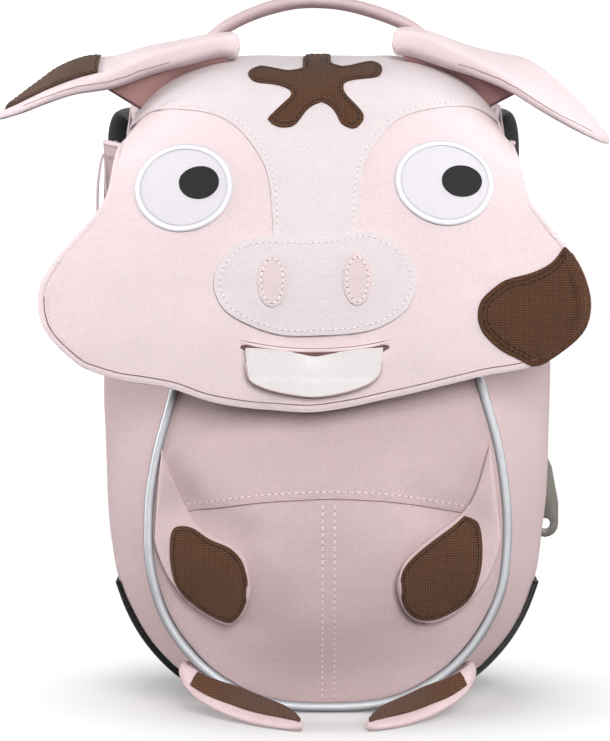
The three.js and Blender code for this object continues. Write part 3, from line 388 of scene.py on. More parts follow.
def reflective(colour):
    """The piping's grey film, which throws light back, with painted shade where it turns away from
    the view.
    """
    name = "Reflective piping"
    if name in bpy.data.materials:
        return bpy.data.materials[name]
    material = canvas(
        name, colour, 0.06, 0.05, 0.0006, 0.00005, 0.0, 0.34, gloss=0.4, metallic=0.25, coat=0.15
    )
    graph = Graph(material.node_tree)
    shader = material.node_tree.nodes["Principled BSDF"]
    plain = shader.inputs["Base Color"].links[0].from_socket
    # Painted shade: the colour darkens towards grazing angles by the Layer Weight's facing.
    facing = graph.node("ShaderNodeLayerWeight")
    facing.inputs["Blend"].default_value = 0.5
    dark = (*srgb(70, 74, 78), 1.0)
    graph.join(graph.mix(facing.outputs["Facing"], plain, dark), shader.inputs["Base Color"])
    return material


def fine_cloth(name, colour, shade=0.1):
    """Thread and shaded lines, whose own weave hardly shows."""
    return canvas(name, colour, shade, 0.0, 0.0008, 0.00005)


def ribbed(name, colour, ribs, shade, relief, roughness, sheen=0.0):
    """Satin stitch, binding or cord, with so many ribs to the metre."""
    values = {"Colour": colour, "Ribs": ribs, "Shade": shade}
    return finish(name, ribbed_thread(), relief, roughness, sheen, **values)


def moulded(name, colour):
    """Plastic with a fine grain."""
    return canvas(name, colour, 0.05, 0.06, 0.0016, 0.00003, 0.0, 0.42, gloss=0.4, coat=0.1)


def materials():
    """Every finish of the bag by its plain name."""
    tint = colours()
    satin = srgb(236, 235, 240)
    return {
        # The body's pink is the head's canvas set darker: painted shade.
        "body": canvas("Pink body canvas", tint.body, 0.3, relief=0.00026),
        "head": canvas("Pink head canvas", tint.head, 0.14),
        "forehead": canvas("Pale canvas", tint.forehead, 0.07, relief=0.00017),
        # The ear's root is the head's pink cloth set darker and redder: painted shade under the
        # ear.
        "ear root painted shade": canvas("Ear root canvas", srgb(192, 146, 144), 0.2),
        "spots": canvas("Brown canvas", tint.spots, 1.0, 0.1, 0.0015, 0.00034, 0.05),
        "eyes": canvas("White satin", tint.eyes, 0.04, 0.01, 0.0006, 0.00004, 0.0, 0.55),
        "pupils": canvas("Black satin", tint.pupils, 0.3, 0.05, 0.0006, 0.00006, 0.0, 0.6),
        "tongue": canvas("White cloth", tint.tongue, 0.08, 0.02, 0.0007, 0.00006),
        "nostrils": canvas("Nostril canvas", tint.nostrils, 0.22),
        # Painted shade: the dark slit under the lip and the nostrils' needle holes.
        "mouth": canvas("Mouth lining", tint.mouth, 0.3),
        "straps": canvas("Grey canvas", tint.straps, 0.4, 0.08),
        "thread": fine_cloth("Light thread", tint.thread),
        "pink thread": fine_cloth("Pink thread", srgb(242, 220, 223)),
        "dark thread": fine_cloth("Brown thread", srgb(50, 31, 21), 0.2),
        "grey thread": fine_cloth("Grey thread", srgb(150, 154, 152), 0.2),
        # A grey line inside the eyes' satin rim: painted shade where the rim dips.
        "groove": fine_cloth("Grey groove", srgb(184, 182, 192)),
        # Dark lines along the flap's hem and above the lip: painted shade in the seams.
        "seam": fine_cloth("Shaded seam", srgb(118, 86, 84)),
        # The needle holes' dark finishes are painted shade in the holes.
        "holes": canvas("Needle holes", tint.holes, 0.1, 0.0),
        "pink holes": canvas("Pink needle holes", srgb(132, 98, 101), 0.1, 0.0),
        "dark holes": canvas("Dark needle holes", srgb(44, 28, 20), 0.1, 0.0),
        # The lines of the pocket's seam and the ears' folds: painted shade where the cloth dips.
        "soft seam": canvas("Softly shaded seam", srgb(160, 128, 130), 0.1, 0.0),
        "satin": ribbed("White satin stitch", satin, 2200.0, 0.08, 0.00012, 0.45, 0.2),
        "binding": ribbed("Pink binding", tint.head, 1400.0, 0.16, 0.00018, 0.85, 0.1),
        "cord": ribbed("Braided cord", srgb(226, 214, 214), 1100.0, 0.35, 0.0002, 0.8),
        "piping": reflective(tint.piping),
        "plastic": moulded("Grey plastic", tint.plastic),
    }


# Soft shape


def ramp(value, start, end):
    """Rises from 0 at start to 1 at end, and stays level beyond them."""
    return min(max((value - start) / (end - start), 0.0), 1.0)


def bell(distance, width=1.0):
    """1 at the middle, falling softly to nothing within a few widths."""
    return math.exp(-((distance / width) ** 2))


def folded(point):
    """Where a point of the cloth goes: broad soft folds, and the stuffed belly and eyes."""
    size = cloth().fold_size
    folds = noise.noise_vector(point / size) + noise.noise_vector(point / size * 2.7) * 0.28
    loose = ramp(point.z, 0.0, 0.03) * ramp(point.y, 0.062, 0.032)
    moved = point + folds * cloth().fold_depth * loose
    if point.y >= FRONT:
        return moved
    spot = Vector((point.x, point.z))
    if point.z < 0.15:
        reach = math.hypot(point.x / BELLY_REACH[0], (point.z - BELLY_HEIGHT) / BELLY_REACH[1])
        moved.y -= cloth().belly * bell(reach)
        for start, end, width, depth in CREASES:
            start, end = Vector(start), Vector(end)
            share = (spot - start).dot(end - start) / (end - start).length_squared
            away = (spot - start.lerp(end, ramp(share, 0.0, 1.0))).length
            moved.y += depth * bell(away, width)
    if point.z > 0.19:
        for middle in EYE_MIDDLES:
            moved.y -= cloth().eye_bulge * bell((spot - Vector(middle)).length, EYE_REACH)
    return moved


def smooth_mesh(bm, name, levels):
    """A bmesh as an object, rounded so that it still passes through its own points."""
    mesh = bpy.data.meshes.new(name)
    bm.to_mesh(mesh)
    bm.free()
    piece = bpy.data.objects.new(name, mesh)
    bpy.context.scene.collection.objects.link(piece)
    if levels:
        rounding = piece.modifiers.new("Rounding", "SUBSURF")
        rounding.levels = rounding.render_levels = levels
        aims = [vertex.co.copy() for vertex in mesh.vertices]
        for _ in range(3):
            seen = piece.evaluated_get(bpy.context.evaluated_depsgraph_get())
            for vertex, aim, rounded in zip(mesh.vertices, aims, seen.data.vertices):
                vertex.co += aim - rounded.co
            mesh.update()
        seen = piece.evaluated_get(bpy.context.evaluated_depsgraph_get())
        piece.data = bpy.data.meshes.new_from_object(seen)
        piece.modifiers.clear()
        bpy.data.meshes.remove(mesh)
        piece.data.name = name
    piece.data.shade_smooth()
    return piece


def sewn_copy(node, edge):
    """The solid's mesh in quads, with a narrow chamfer along its sharp edges."""
    bm = bmesh.new()
    bm.from_mesh(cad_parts[node].data)
    bmesh.ops.remove_doubles(bm, verts=bm.verts[:], dist=0.00001)
    bmesh.ops.join_triangles(
        bm,
        faces=[f for f in bm.faces if all(len(v.link_edges) < 9 for v in f.verts)],
        angle_face_threshold=math.radians(40),
        angle_shape_threshold=math.radians(80),
    )
    if edge:
        sharp = [e for e in bm.edges if e.calc_face_angle(0.0) > math.radians(50)]
        settings = {"offset_type": "OFFSET", "affect": "EDGES", "clamp_overlap": True}
        bmesh.ops.bevel(
            bm, geom=sharp, offset=edge, segments=1, profile=0.5, material=-1, **settings
        )
    return bm


def dress(piece, material, *nodes, slot=None):
    """Gives a piece its finish, its body and the solids it stands for."""
    piece.data.materials.clear()
    piece.data.materials.append(materials()[material])
    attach(piece, "root")
    if nodes:
        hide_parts(*nodes)
    return piece


def soft_piece(node, material, slot, edge=0.0004, levels=2, fold=True):
    """A cloth part: its solid, smoothed, folded and finished."""
    piece = smooth_mesh(sewn_copy(node, edge), node + "_cloth", levels)
    if fold:
        for vertex in piece.data.vertices:
            vertex.co = folded(vertex.co)
    dress(piece, material, node, slot=slot)
    return piece


def surface_of(piece):
    seen = piece.data
    return BVHTree.FromPolygons([v.co for v in seen.vertices], [p.vertices for p in seen.polygons])


def lay_on(piece, carrier, gap, share=1.0, puff=0.0):
    """Lays a sewn-on piece closely on the cloth that carries it, thinned and puffed up."""
    tree = surface_of(carrier)
    nearest = [tree.find_nearest(vertex.co) for vertex in piece.data.vertices]
    heights = [(v.co - hit[0]).dot(hit[1]) for v, hit in zip(piece.data.vertices, nearest)]
    low = sorted(heights)[len(heights) // 50]
    for vertex, height, (place, normal, _, _) in zip(piece.data.vertices, heights, nearest):
        inside = vertex.co - place - normal * height
        vertex.co = place + inside + normal * (gap + max(height - low, 0.0) * share)
    if puff:
        centre = sum((v.co for v in piece.data.vertices), Vector()) / len(heights)
        reach = max((v.co - centre).length for v in piece.data.vertices)
        for vertex, height, (_, normal, _, _) in zip(piece.data.vertices, heights, nearest):
            near = 1.0 - ((vertex.co - centre).length / reach) ** 2
            vertex.co += normal * puff * max(near, 0.0) * min(max(height - low, 0.0) / MM, 1.0)


# Edges, seams and bindings


def rim(node, thickness, through=None):
    """The middle line of a thin part's edge: points, and the way outwards at each."""
    bm = sewn_copy(node, 0.0)
    short = {e for e in bm.edges if e.calc_length() < thickness * 1.35}
    if through:
        ways = {e: (e.verts[1].co - e.verts[0].co).normalized() for e in short}
        short = {e for e, way in ways.items() if abs(way.dot(through)) > 0.75}
    ways = {}
    for face in bm.faces:
        ends = [e for e in face.edges if e in short]
        if len(ends) == 2 and len(face.verts) == 4:
            for one, other in (ends, ends[::-1]):
                ways.setdefault(one, []).append(other)
    start = next(e for e in ways if len(ways[e]) == 2)
    line = [start]
    while True:
        further = [e for e in ways[line[-1]] if e not in line[-2:] and e is not line[0]]
        if not further:
            break
        line.append(further[0])
        if len(line) > len(ways):
            break
    points = []
    for edge in line:
        first, second = (v.co.copy() for v in edge.verts)
        if (first - MIDDLE).length < (second - MIDDLE).length:
            first, second = second, first
        points.append(((first + second) / 2, (first - second).normalized()))
    bm.free()
    return points


def evenly(points, step, closed):
    """Points and outward ways at even steps along a smooth line through the given ones."""
    count = len(points)
    spans = range(count if closed else count - 1)
    fine = []
    for i in spans:
        ids = [(i + k) % count if closed else min(max(i + k, 0), count - 1) for k in (-1, 0, 1, 2)]
        p = [points[k][0] for k in ids]
        n = [points[k][1] for k in ids]
        for j in range(8):
            t = j / 8
            weights = (
                -0.5 * t**3 + t**2 - 0.5 * t,
                1.5 * t**3 - 2.5 * t**2 + 1,
                -1.5 * t**3 + 2 * t**2 + 0.5 * t,
                0.5 * t**3 - 0.5 * t**2,
            )
            place = sum((q * w for q, w in zip(p, weights)), Vector())
            fine.append((place, n[1].lerp(n[2], t).normalized()))
    fine.append(fine[0] if closed else points[-1])
    total = sum((b[0] - a[0]).length for a, b in zip(fine, fine[1:]))
    steps = max(2, round(total / step))
    result, gone, i = [], 0.0, 0
    for k in range(steps if closed else steps + 1):
        goal = total * k / steps
        while i < len(fine) - 2 and gone + (fine[i + 1][0] - fine[i][0]).length < goal:
            gone += (fine[i + 1][0] - fine[i][0]).length
            i += 1
        span = (fine[i + 1][0] - fine[i][0]).length or 1.0
        t = min(max((goal - gone) / span, 0.0), 1.0)
        place = fine[i][0].lerp(fine[i + 1][0], t)
        result.append((place, fine[i][1].lerp(fine[i + 1][1], t).normalized()))
    return result


def frames(line, closed):
    """Adds to each point of a line its direction and the way to its left, along the surface."""
    count = len(line)
    result = []
    for i, (place, out) in enumerate(line):
        after = line[(i + 1) % count] if closed else line[min(i + 1, count - 1)]
        before = line[i - 1] if closed else line[max(i - 1, 0)]
        along = (after[0] - before[0]).normalized()
        side = out.cross(along).normalized()
        result.append((place, along, side, along.cross(side).normalized()))
    return result


def turned_inwards(line):
    """The line, reversed if needed, so that its left side is the inside of the piece."""
    centre = sum((p for p, _ in line), Vector()) / len(line)
    area = 0.0
    for (p, n), (q, _) in zip(line, line[1:] + line[:1]):
        area += (p - centre).cross(q - p).dot(n)
    return line if area > 0 else line[::-1]


def sweep(name, stations, section, closed):
    """A strip with the given section, swept along stations of place, side and up."""
    bm = bmesh.new()
    ring = bmesh.ops.create_circle(bm, segments=len(section), radius=MM)["verts"]

    def place(verts, station):
        centre, side, up = station
        for vertex, (a, b) in zip(verts, section):
            vertex.co = centre + side * a + up * b

    def loop(verts):
        return [bm.edges.get((v, w)) for v, w in zip(verts, verts[1:] + verts[:1])]

    place(ring, stations[0])
    first = ring
    for station in stations[1:]:
        made = bmesh.ops.extrude_edge_only(bm, edges=loop(ring))["geom"]
        fresh = {v for v in made if isinstance(v, bmesh.types.BMVert)}
        ring = [
            next(e.other_vert(v) for e in v.link_edges if e.other_vert(v) in fresh) for v in ring
        ]
        place(ring, station)
    if closed:
        bmesh.ops.bridge_loops(bm, edges=loop(ring) + loop(first))
    else:
        for verts in (first, ring):
            bmesh.ops.edgeloop_fill(bm, edges=loop(verts))
    bmesh.ops.recalc_face_normals(bm, faces=bm.faces[:])
    lay_map(bm, stations, closed)
    return smooth_mesh(bm, name, 0)


def lay_map(bm, stations, closed):
    """A map whose first coordinate is the metres along the strip."""
    layer = bm.loops.layers.uv.new("Along")
    gone, marks = 0.0, []
    for i, station in enumerate(stations):
        if i:
            gone += (station[0] - stations[i - 1][0]).length
        marks.append(gone)
    bm.verts.ensure_lookup_table()
    width = len(bm.verts) // len(stations)
    rank = {}
    for index, vertex in enumerate(bm.verts):
        rank[vertex] = index // width
    total = gone + ((stations[0][0] - stations[-1][0]).length if closed else 0.0)
    for face in bm.faces:
        ranks = [rank[loop.vert] for loop in face.loops]
        wraps = closed and max(ranks) - min(ranks) > 1
        for loop, k in zip(face.loops, ranks):
            metres = total if wraps and k == 0 else marks[k]
            loop[layer].uv = (metres, 0.0)


def oval(half_width, half_height):
    """The eight points of an oval section."""
    turns = [math.pi * i / 4 for i in range(8)]
    return [(math.cos(turn) * half_width, math.sin(turn) * half_height) for turn in turns]


def edge_line(node, thickness, step=0.002, keep=None, fold=True, through=None):
    """A part's edge as an even line that runs with the piece on its left."""
    line = evenly(turned_inwards(rim(node, thickness, through)), step, True)
    if fold:
        line = [(folded(p), n) for p, n in line]
    closed = keep is None
    if keep:
        inside = [keep(p) for p, _ in line]
        start = next(i for i, x in enumerate(inside) if x and not inside[i - 1])
        line = line[start:] + line[:start]
        line = [entry for entry, x in zip(line, inside[start:] + inside[:start]) if x]
    return line, closed


def strip(
    name, line, closed, section, material, slot, *nodes, shift=Vector(), inset=0.0, lift=0.0
):
    """A strip with its finish, swept along a line and moved inwards, up or by a fixed shift."""
    stations = [
        (p + side * inset + up * lift + shift, side, up) for p, _, side, up in frames(line, closed)
    ]
    return dress(sweep(name, stations, section, closed), material, *nodes, slot=slot)


def binding(name, node, width, material, slot, proud, keep=None):
    """A narrow band that is folded round a sheet's edge."""
    half = SHEET / 2 + proud
    over = [(0.0, half * 0.75), (0.0006, half), (width * 0.6, half), (width, half * 0.86)]
    section = [(-0.0003, 0.0), *over, *((across, -up) for across, up in reversed(over))]
    strip(name, *edge_line(node, SHEET, keep=keep), section, material, slot)


def ridge(
    name, node, thickness, inset, size, material, slot, carrier, gap, share=1.0, keep=None
):
    """A raised rim or a fine line, laid on its carrier just inside a part's edge."""
    edge = edge_line(node, thickness, step=0.0012, keep=keep)
    place = {"inset": inset, "lift": thickness / 2}
    piece = strip(name, *edge, oval(*size), material, slot, **place)
    lay_on(piece, carrier, gap, share)


class Stitches:
    """Collects stitches and the needle holes between them, each as one piece; the holes are dark
    dots of painted shade.
    """

    def __init__(self, name, thread, holes, slot):
        self.name, self.thread, self.holes, self.slot = name, thread, holes, slot
        self.threads, self.dots = bmesh.new(), bmesh.new()

    def lump(self, bm, place, along, side, up, sizes):
        turn = Matrix((side * sizes[1], up * sizes[2], along * sizes[0])).transposed().to_4x4()
        turn.translation = place
        bmesh.ops.create_uvsphere(bm, u_segments=6, v_segments=4, radius=1.0, matrix=turn)

    def sew(self, line, closed, carrier, inset=0.0, pitch=None, scale=1.0):
        """Stitches along a line, moved inwards and pressed onto the carrier's surface."""
        tree = surface_of(carrier)
        pitch = pitch or cloth().stitch_pitch
        line = [(p + side * inset, up) for p, _, side, up in frames(line, closed)]
        even = evenly(line, pitch / 2, closed)
        if closed and len(even) % 2:
            even = even[:-1]
        chunks = bmesh.new(), bmesh.new()
        for i, (place, along, _, up) in enumerate(frames(even, closed)):
            hit, normal, _, _ = tree.ray_cast(place + up * 0.006, -up, 0.014)
            if hit is None:
                hit, normal, _, _ = tree.find_nearest(place)
            if normal.dot(up) < 0:
                normal = -normal
            side = normal.cross(along).normalized()
            width = cloth().stitch_width * scale
            if i % 2 == 0:
                long = cloth().stitch_length * scale * pitch / cloth().stitch_pitch
                sizes = (long / 2, width * 0.6, width * 0.45)
                self.lump(chunks[0], hit, along, side, normal, sizes)
            else:
                # A needle hole: a flat dot whose dark finish is painted shade.
                sizes = (width * 0.5, width * 0.5, width * 0.16)
                self.lump(chunks[1], hit, along, side, normal, sizes)
            if i % 40 == 39 or i == len(even) - 1:
                self.gather(chunks)
                chunks = bmesh.new(), bmesh.new()

    def around(self, node, thickness, inset, pitch=None, scale=1.0, **which):
        """A seam just inside a part's edge."""
        line, closed = edge_line(node, thickness, **which)
        self.sew(line, closed, made(node), inset, pitch, scale)

    def gather(self, chunks):
        """Adds a short run of stitches to the rest."""
        for chunk, whole in zip(chunks, (self.threads, self.dots)):
            run = bpy.data.meshes.new("run")
            chunk.to_mesh(run)
            chunk.free()
            whole.from_mesh(run)
            bpy.data.meshes.remove(run)

    def knot_off(self):
        """Turns what was sewn into two pieces."""
        for bm, part, material in (
            (self.threads, "_thread", self.thread),
            (self.dots, "_holes", self.holes),
        ):
            if bm.verts:
                dress(smooth_mesh(bm, self.name + part, 0), material, slot=self.slot)


def line_on(piece, points, along_view=Vector((0, 1, 0)), start=-0.2):
    """A line through places given as x and z, dropped on a piece from the front."""
    tree = surface_of(piece)
    line = []
    for x, z in points:
        hit, normal, _, _ = tree.ray_cast(Vector((x, start, z)), along_view)
        if hit is None:
            raise RuntimeError(f"no cloth at {x}, {z} on {piece.name}")
        line.append((hit, normal if normal.dot(along_view) < 0 else -normal))
    return line


def inside_outline(piece, centre, inset, count=72):
    """A closed line on a piece's back, everywhere the same way inside its outline."""
    tree = surface_of(piece)
    points = []
    for i in range(count):
        angle = 2 * math.pi * i / count
        way = Vector((math.cos(angle), math.sin(angle)))
        near, far = 0.0, 0.2
        for _ in range(14):
            middle = (near + far) / 2
            spot = centre + way * middle
            hit = tree.ray_cast(Vector((spot.x, 0.3, spot.y)), Vector((0, -1, 0)))[0]
            near, far = (middle, far) if hit else (near, middle)
        points.append(centre + way * near)
    line = []
    for before, spot, after in zip(points[-1:] + points, points, points[1:] + points[:1]):
        across = (after - before).normalized()
        inner = spot + Vector((-across.y, across.x)) * inset
        line.append((inner.x, inner.y))
    return line_on(piece, line, Vector((0, -1, 0)), 0.3)


def made(name):
    """A piece that an earlier operator made."""
    return bpy.data.objects[name + "_cloth"]


def on_pocket_seam(place):
    """Whether a point of the front's edge lies where the pocket begins."""
    return place.z < 0.0985 and abs(place.x) < 0.0745


def on_loose_edge(place):
    """Whether a point of the flap's edge lies below the gussets' top."""
    return place.z < 0.185


def on_cheek_edge(place):
    """Whether a point of the flap's edge lies under the cheek's patch."""
    return place.x > 0.06 and 0.155 < place.z < 0.2035


def on_cheek_inside(place):
    """Whether a point of the cheek patch's edge lies off the flap's own edge."""
    return place.x < 0.086 + (place.z - 0.155) * 0.4


def placed(name, data, place, aim):
    """A camera or a lamp at a place, turned towards another."""
    thing = bpy.data.objects.new(name, data)
    bpy.context.scene.collection.objects.link(thing)
    thing.location = place
    thing.rotation_euler = (Vector(aim) - Vector(place)).to_track_quat("-Z", "Y").to_euler()
    return thing


# Operators


class BACKPACK_OT_stage(Operator):
    """Sets up the camera, the pale floor and the soft lights"""

    bl_idname = "backpack.stage"
    bl_label = "Stage"

    def execute(self, context):
        scene = context.scene
        stage = scene.backpack_stage
        scene.view_settings.view_transform = "Standard"
        data = bpy.data.cameras.new("Camera")
        data.lens = stage.lens
        data.sensor_width = 36.0
        data.clip_start, data.clip_end = 0.05, 50.0
        place = (stage.camera_side, -stage.camera_distance, stage.camera_height)
        camera = placed("Camera", data, place, (stage.camera_side, 0.0, stage.aim_height))
        scene.camera = camera

        bm = bmesh.new()
        bmesh.ops.create_grid(bm, x_segments=1, y_segments=1, size=6.0)
        floor = smooth_mesh(bm, "Floor", 0)
        material = bpy.data.materials.new("Floor")
        material.use_nodes = True
        shader = material.node_tree.nodes["Principled BSDF"]
        shader.inputs["Roughness"].default_value = 0.8
        shader.inputs["Specular IOR Level"].default_value = 0.1
        shader.inputs["Emission Color"].default_value = (1.0, 1.0, 1.0, 1.0)
        graph = Graph(material.node_tree)
        length = graph.node("ShaderNodeVectorMath", operation="LENGTH")
        graph.join(graph.node("ShaderNodeTexCoord").outputs["Object"], length.inputs[0])
        away = graph.node("ShaderNodeMapRange", interpolation_type="SMOOTHSTEP")
        graph.join(length.outputs["Value"], away.inputs["Value"])
        away.inputs["From Min"].default_value = stage.floor_near
        away.inputs["From Max"].default_value = stage.floor_far
        seen = graph.node("ShaderNodeLightPath").outputs["Is Camera Ray"]
        near = graph.mix(seen, (*stage.floor_bounce, 1.0), (*stage.floor, 1.0))
        pale = graph.mix(away.outputs[0], near, (0.0, 0.0, 0.0, 1.0))
        graph.join(pale, shader.inputs["Base Color"])
        glow = graph.math("MAXIMUM", away.outputs[0], stage.floor_glow)
        graph.join(graph.math("MULTIPLY", glow, seen), shader.inputs["Emission Strength"])
        floor.data.materials.append(material)

        world = bpy.data.worlds.new("Studio")
        scene.world = world
        world.use_nodes = True
        graph = Graph(world.node_tree)
        background = world.node_tree.nodes["Background"]
        background.inputs["Color"].default_value = (1.0, 1.0, 1.0, 1.0)
        ray = graph.node("ShaderNodeLightPath").outputs["Is Camera Ray"]
        strength = graph.math("MULTIPLY_ADD", ray, 1.2 - stage.daylight, stage.daylight)
        graph.join(strength, background.inputs["Strength"])

        for name, place, size, power in LIGHTS:
            light = bpy.data.lights.new(name, "AREA")
            light.energy, light.size = power, size
            placed(name, light, place, LIGHTS_AIM)
        return {"FINISHED"}


class BACKPACK_OT_drawcord(Operator):
    """Hangs the drawcord's loop out of the mouth"""

    bl_idname = "backpack.drawcord"
    bl_label = "Drawcord"

    def execute(self, context):
        west = Vector((-1, 0, 0))
        line = evenly([(Vector(p) * MM, west) for row in DRAWCORD for p in row], 0.0012, False)
        section = oval(0.00065, 0.00065)
        piece = strip("drawcord_cloth", line, False, section, "cord", "pink_cord", "drawcord")
        return {"FINISHED"}


class BACKPACK_OT_body(Operator):
    """Sews the gusset, the stuffed front, the base and the padded back"""

    bl_idname = "backpack.body"
    bl_label = "Body"

    def execute(self, context):
        for node in ("gusset_left", "gusset_bottom", "gusset_right"):
            gusset = soft_piece(node, "body", "pink_canvas")
            for vertex in gusset.data.vertices:
                high = ramp(vertex.co.z, *GUSSET_TOP)
                front = ramp(vertex.co.y, *GUSSET_FRONT)
                vertex.co.x *= 1.0 - 0.035 * high * front
                vertex.co.z -= 0.008 * high * front**2
            if node != "gusset_bottom":
                self.gusset_rim(node, gusset)
        soft_piece("base_panel", "straps", "grey_canvas", fold=False)
        for node in ("front_panel", "front_pocket"):
            soft_piece(node, "body", "pink_canvas", edge=0.0008)
        thread = (0.0002, 0.0002)
        # A dark line where the front overlaps the pocket: painted shade.
        ridge(
            "pocket_seam", "front_panel", SHEET, -0.0002, thread, "soft seam", "pink_canvas",
            made("front_pocket"), 0.0001, keep=on_pocket_seam,
        )
        soft_piece("back_panel", "straps", "grey_canvas", 0.0012, 3, False)
        soft_piece("piping", "piping", "reflective_piping", 0.0)
        self.quilt(made("back_panel"))
        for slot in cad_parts["flap_closure"].material_slots:
            slot.material = materials()["pupils"]
        return {"FINISHED"}

    def gusset_rim(self, node, gusset):
        """The bound edge along the top of a gusset."""
        strips = {}
        for vertex in gusset.data.vertices:
            if vertex.co.z > 0.22:
                strips.setdefault(round(vertex.co.y / 0.004), []).append(vertex.co)
        line = []
        for _, places in sorted(strips.items()):
            top = max(place.z for place in places)
            edge = [place for place in places if place.z > top - 0.0006]
            line.append((sum(edge, Vector()) / len(edge), Vector((0, 0, 1))))
        line = evenly(line, 0.003, False)
        strip(node + "_rim", line, False, oval(0.0014, 0.0012), "binding", "pink_canvas")

    def quilt(self, back):
        """Draws the padded back in along a seam and lets it swell inside."""
        seam = [Vector((p.x, p.z)) for p, _ in inside_outline(back, BACK_MIDDLE, QUILT_INSET)]
        reach = [(spot - BACK_MIDDLE).length for spot in seam]
        for vertex in back.data.vertices:
            if vertex.co.y < BACK_FACE:
                continue
            spot = Vector((vertex.co.x, vertex.co.z))
            away, nearest = min(((spot - p).length, i) for i, p in enumerate(seam))
            vertex.co.y -= QUILT_SEAM[0] * bell(away, QUILT_SEAM[1])
            if (spot - BACK_MIDDLE).length < reach[nearest]:
                vertex.co.y += QUILT_SWELL[0] * (1.0 - bell(away, QUILT_SWELL[1]))


class BACKPACK_OT_head(Operator):
    """Sews the head: the flap with its bound edge, and the pale forehead"""

    bl_idname = "backpack.head"
    bl_label = "Head flap"

    def execute(self, context):
        flap = soft_piece("flap", "head", "pink_canvas", 0.0005)
        forehead = soft_piece("forehead_panel", "forehead", "pale_canvas", 0.0003)
        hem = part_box("forehead_panel")[0].z + 0.002
        for vertex in forehead.data.vertices:
            if vertex.co.z < hem:
                vertex.co.z -= cloth().tuck
                vertex.co.y -= cloth().tuck * 0.2
        lay_on(forehead, flap, LAYER_GAP, 0.5)
        width = cloth().binding_width
        binding("flap_binding", "flap", width, "head", "pink_canvas", 0.00012)
        thread = (0.00017, 0.00012)
        # The flap's seam line just inside its bound hem is painted shade.
        ridge(
            "flap_seam", "flap", SHEET, width, thread, "seam", "pink_canvas",
            flap, 0.00005, keep=on_loose_edge,
        )
        return {"FINISHED"}


class BACKPACK_OT_face(Operator):
    """Sews the eyes, the snout, the nostrils, the mouth and the tongue"""

    bl_idname = "backpack.face"
    bl_label = "Face"

    def execute(self, context):
        flap = made("flap")
        width = cloth().rim_width
        for side in SIDES:
            eye = soft_piece(f"eye_{side}", "eyes", "white_canvas", 0.0002)
            lay_on(eye, flap, LAYER_GAP, 0.6)
            pupil = soft_piece(f"pupil_{side}", "pupils", "black_canvas", 0.0002)
            lay_on(pupil, eye, LAYER_GAP, 0.4)
            for part, inset, size, material, carrier, gap, share in (
                ("rim", width / 2 - 0.0002, (width / 2, 0.00022), "satin", flap, 0.00062, 0.4),
                # The grey line inside the rim is painted shade.
                ("groove", width + 0.0001, (0.00013, 0.0001), "groove", eye, 0.0, 1.0),
            ):
                ridge(
                    f"eye_{part}_{side}", f"eye_{side}", PATCH, inset, size, material,
                    "white_canvas", carrier, gap, share,
                )
        snout = soft_piece("snout", "forehead", "pale_canvas", 0.0006)
        lay_on(snout, flap, LAYER_GAP, 0.42, 0.0011)
        for side in SIDES:
            nostril = soft_piece(f"nostril_{side}", "nostrils", "inner_pink", 0.0003)
            lay_on(nostril, snout, LAYER_GAP, 0.4)
        self.mouth(flap)
        self.tongue()
        return {"FINISHED"}

    def mouth(self, flap):
        """The rolled lip, the dark slit under it and the fine dark seam line above it; slit and
        line are painted shade.
        """
        for name, drop, half_width, half_height, material, nodes in (
            ("mouth_lip_cloth", 0.0, 0.0008, 0.0007, "head", ["mouth_lip"]),
            # The slit is painted shade of the mouth's opening.
            ("mouth_slit", 0.0020, 0.0021, 0.00025, "mouth", []),
            # The seam line above the lip is painted shade.
            ("mouth_seam", -0.0008, 0.00018, 0.00025, "seam", []),
        ):
            stations = [
                (place, side * (0.3 + 0.7 * math.sin(math.pi * i / LIP_STEPS) ** 0.2), up)
                for i, (place, _, side, up) in enumerate(frames(self.lip_line(flap, drop), False))
            ]
            piece = sweep(name, stations, oval(half_width, half_height), False)
            dress(piece, material, *nodes, slot="pink_canvas")

    def tongue(self):
        """The tongue, dented where it comes out of the mouth, with its turned edge."""
        tongue = soft_piece("tongue", "tongue", "white_canvas", 0.0008, 3)
        low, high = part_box("tongue")
        dent = high.z - 0.006
        for vertex in tongue.data.vertices:
            across = bell(vertex.co.x - (low.x + high.x) / 2, 0.007)
            down = bell(high.z - vertex.co.z, 0.006)
            vertex.co.y += 0.0022 * across * down
            vertex.co.z -= 0.0012 * across**2 * down
        line, closed = edge_line(
            "tongue", TONGUE, keep=lambda p: p.z < dent, through=Vector((0, 1, 0))
        )
        place = {"inset": -0.0003, "shift": Vector((0.0, -0.0011, 0.0))}
        section = oval(0.0007, 0.0009)
        strip("tongue_edge", line, closed, section, "body", "white_canvas", **place)

    def lip_line(self, flap, drop):
        """Where the mouth runs, lowered by drop."""
        low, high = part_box("mouth_lip")
        points = []
        for i in range(LIP_STEPS + 1):
            share = i / LIP_STEPS
            x = low.x + (high.x - low.x) * (0.012 + 0.976 * share)
            sag = (2 * share - 1) ** 2
            points.append((x, LIP_HEIGHT + LIP_SAG * sag - drop))
        return line_on(flap, points)


class BACKPACK_OT_spots(Operator):
    """Sews the brown tuft and patches on"""

    bl_idname = "backpack.spots"
    bl_label = "Brown spots"

    def execute(self, context):
        self.patch("forehead_tuft", "forehead_panel", 0.5)
        self.patch("cheek_patch", "flap", 0.5)
        binding("cheek_binding", "flap", 0.0075, "spots", "brown_canvas", 0.0006, on_cheek_edge)
        self.patch("ear_patch", "ear_left")
        for limb in ("arm", "foot"):
            for side in SIDES:
                self.patch(f"{limb}_patch_{side}", f"{limb}_{side}")
        return {"FINISHED"}

    def patch(self, node, carrier, share=0.6):
        """A brown piece, laid on the cloth that carries it."""
        fold = not node.startswith("foot")
        piece = soft_piece(node, "spots", "brown_canvas", 0.0003, fold=fold)
        lay_on(piece, made(carrier), LAYER_GAP, share)


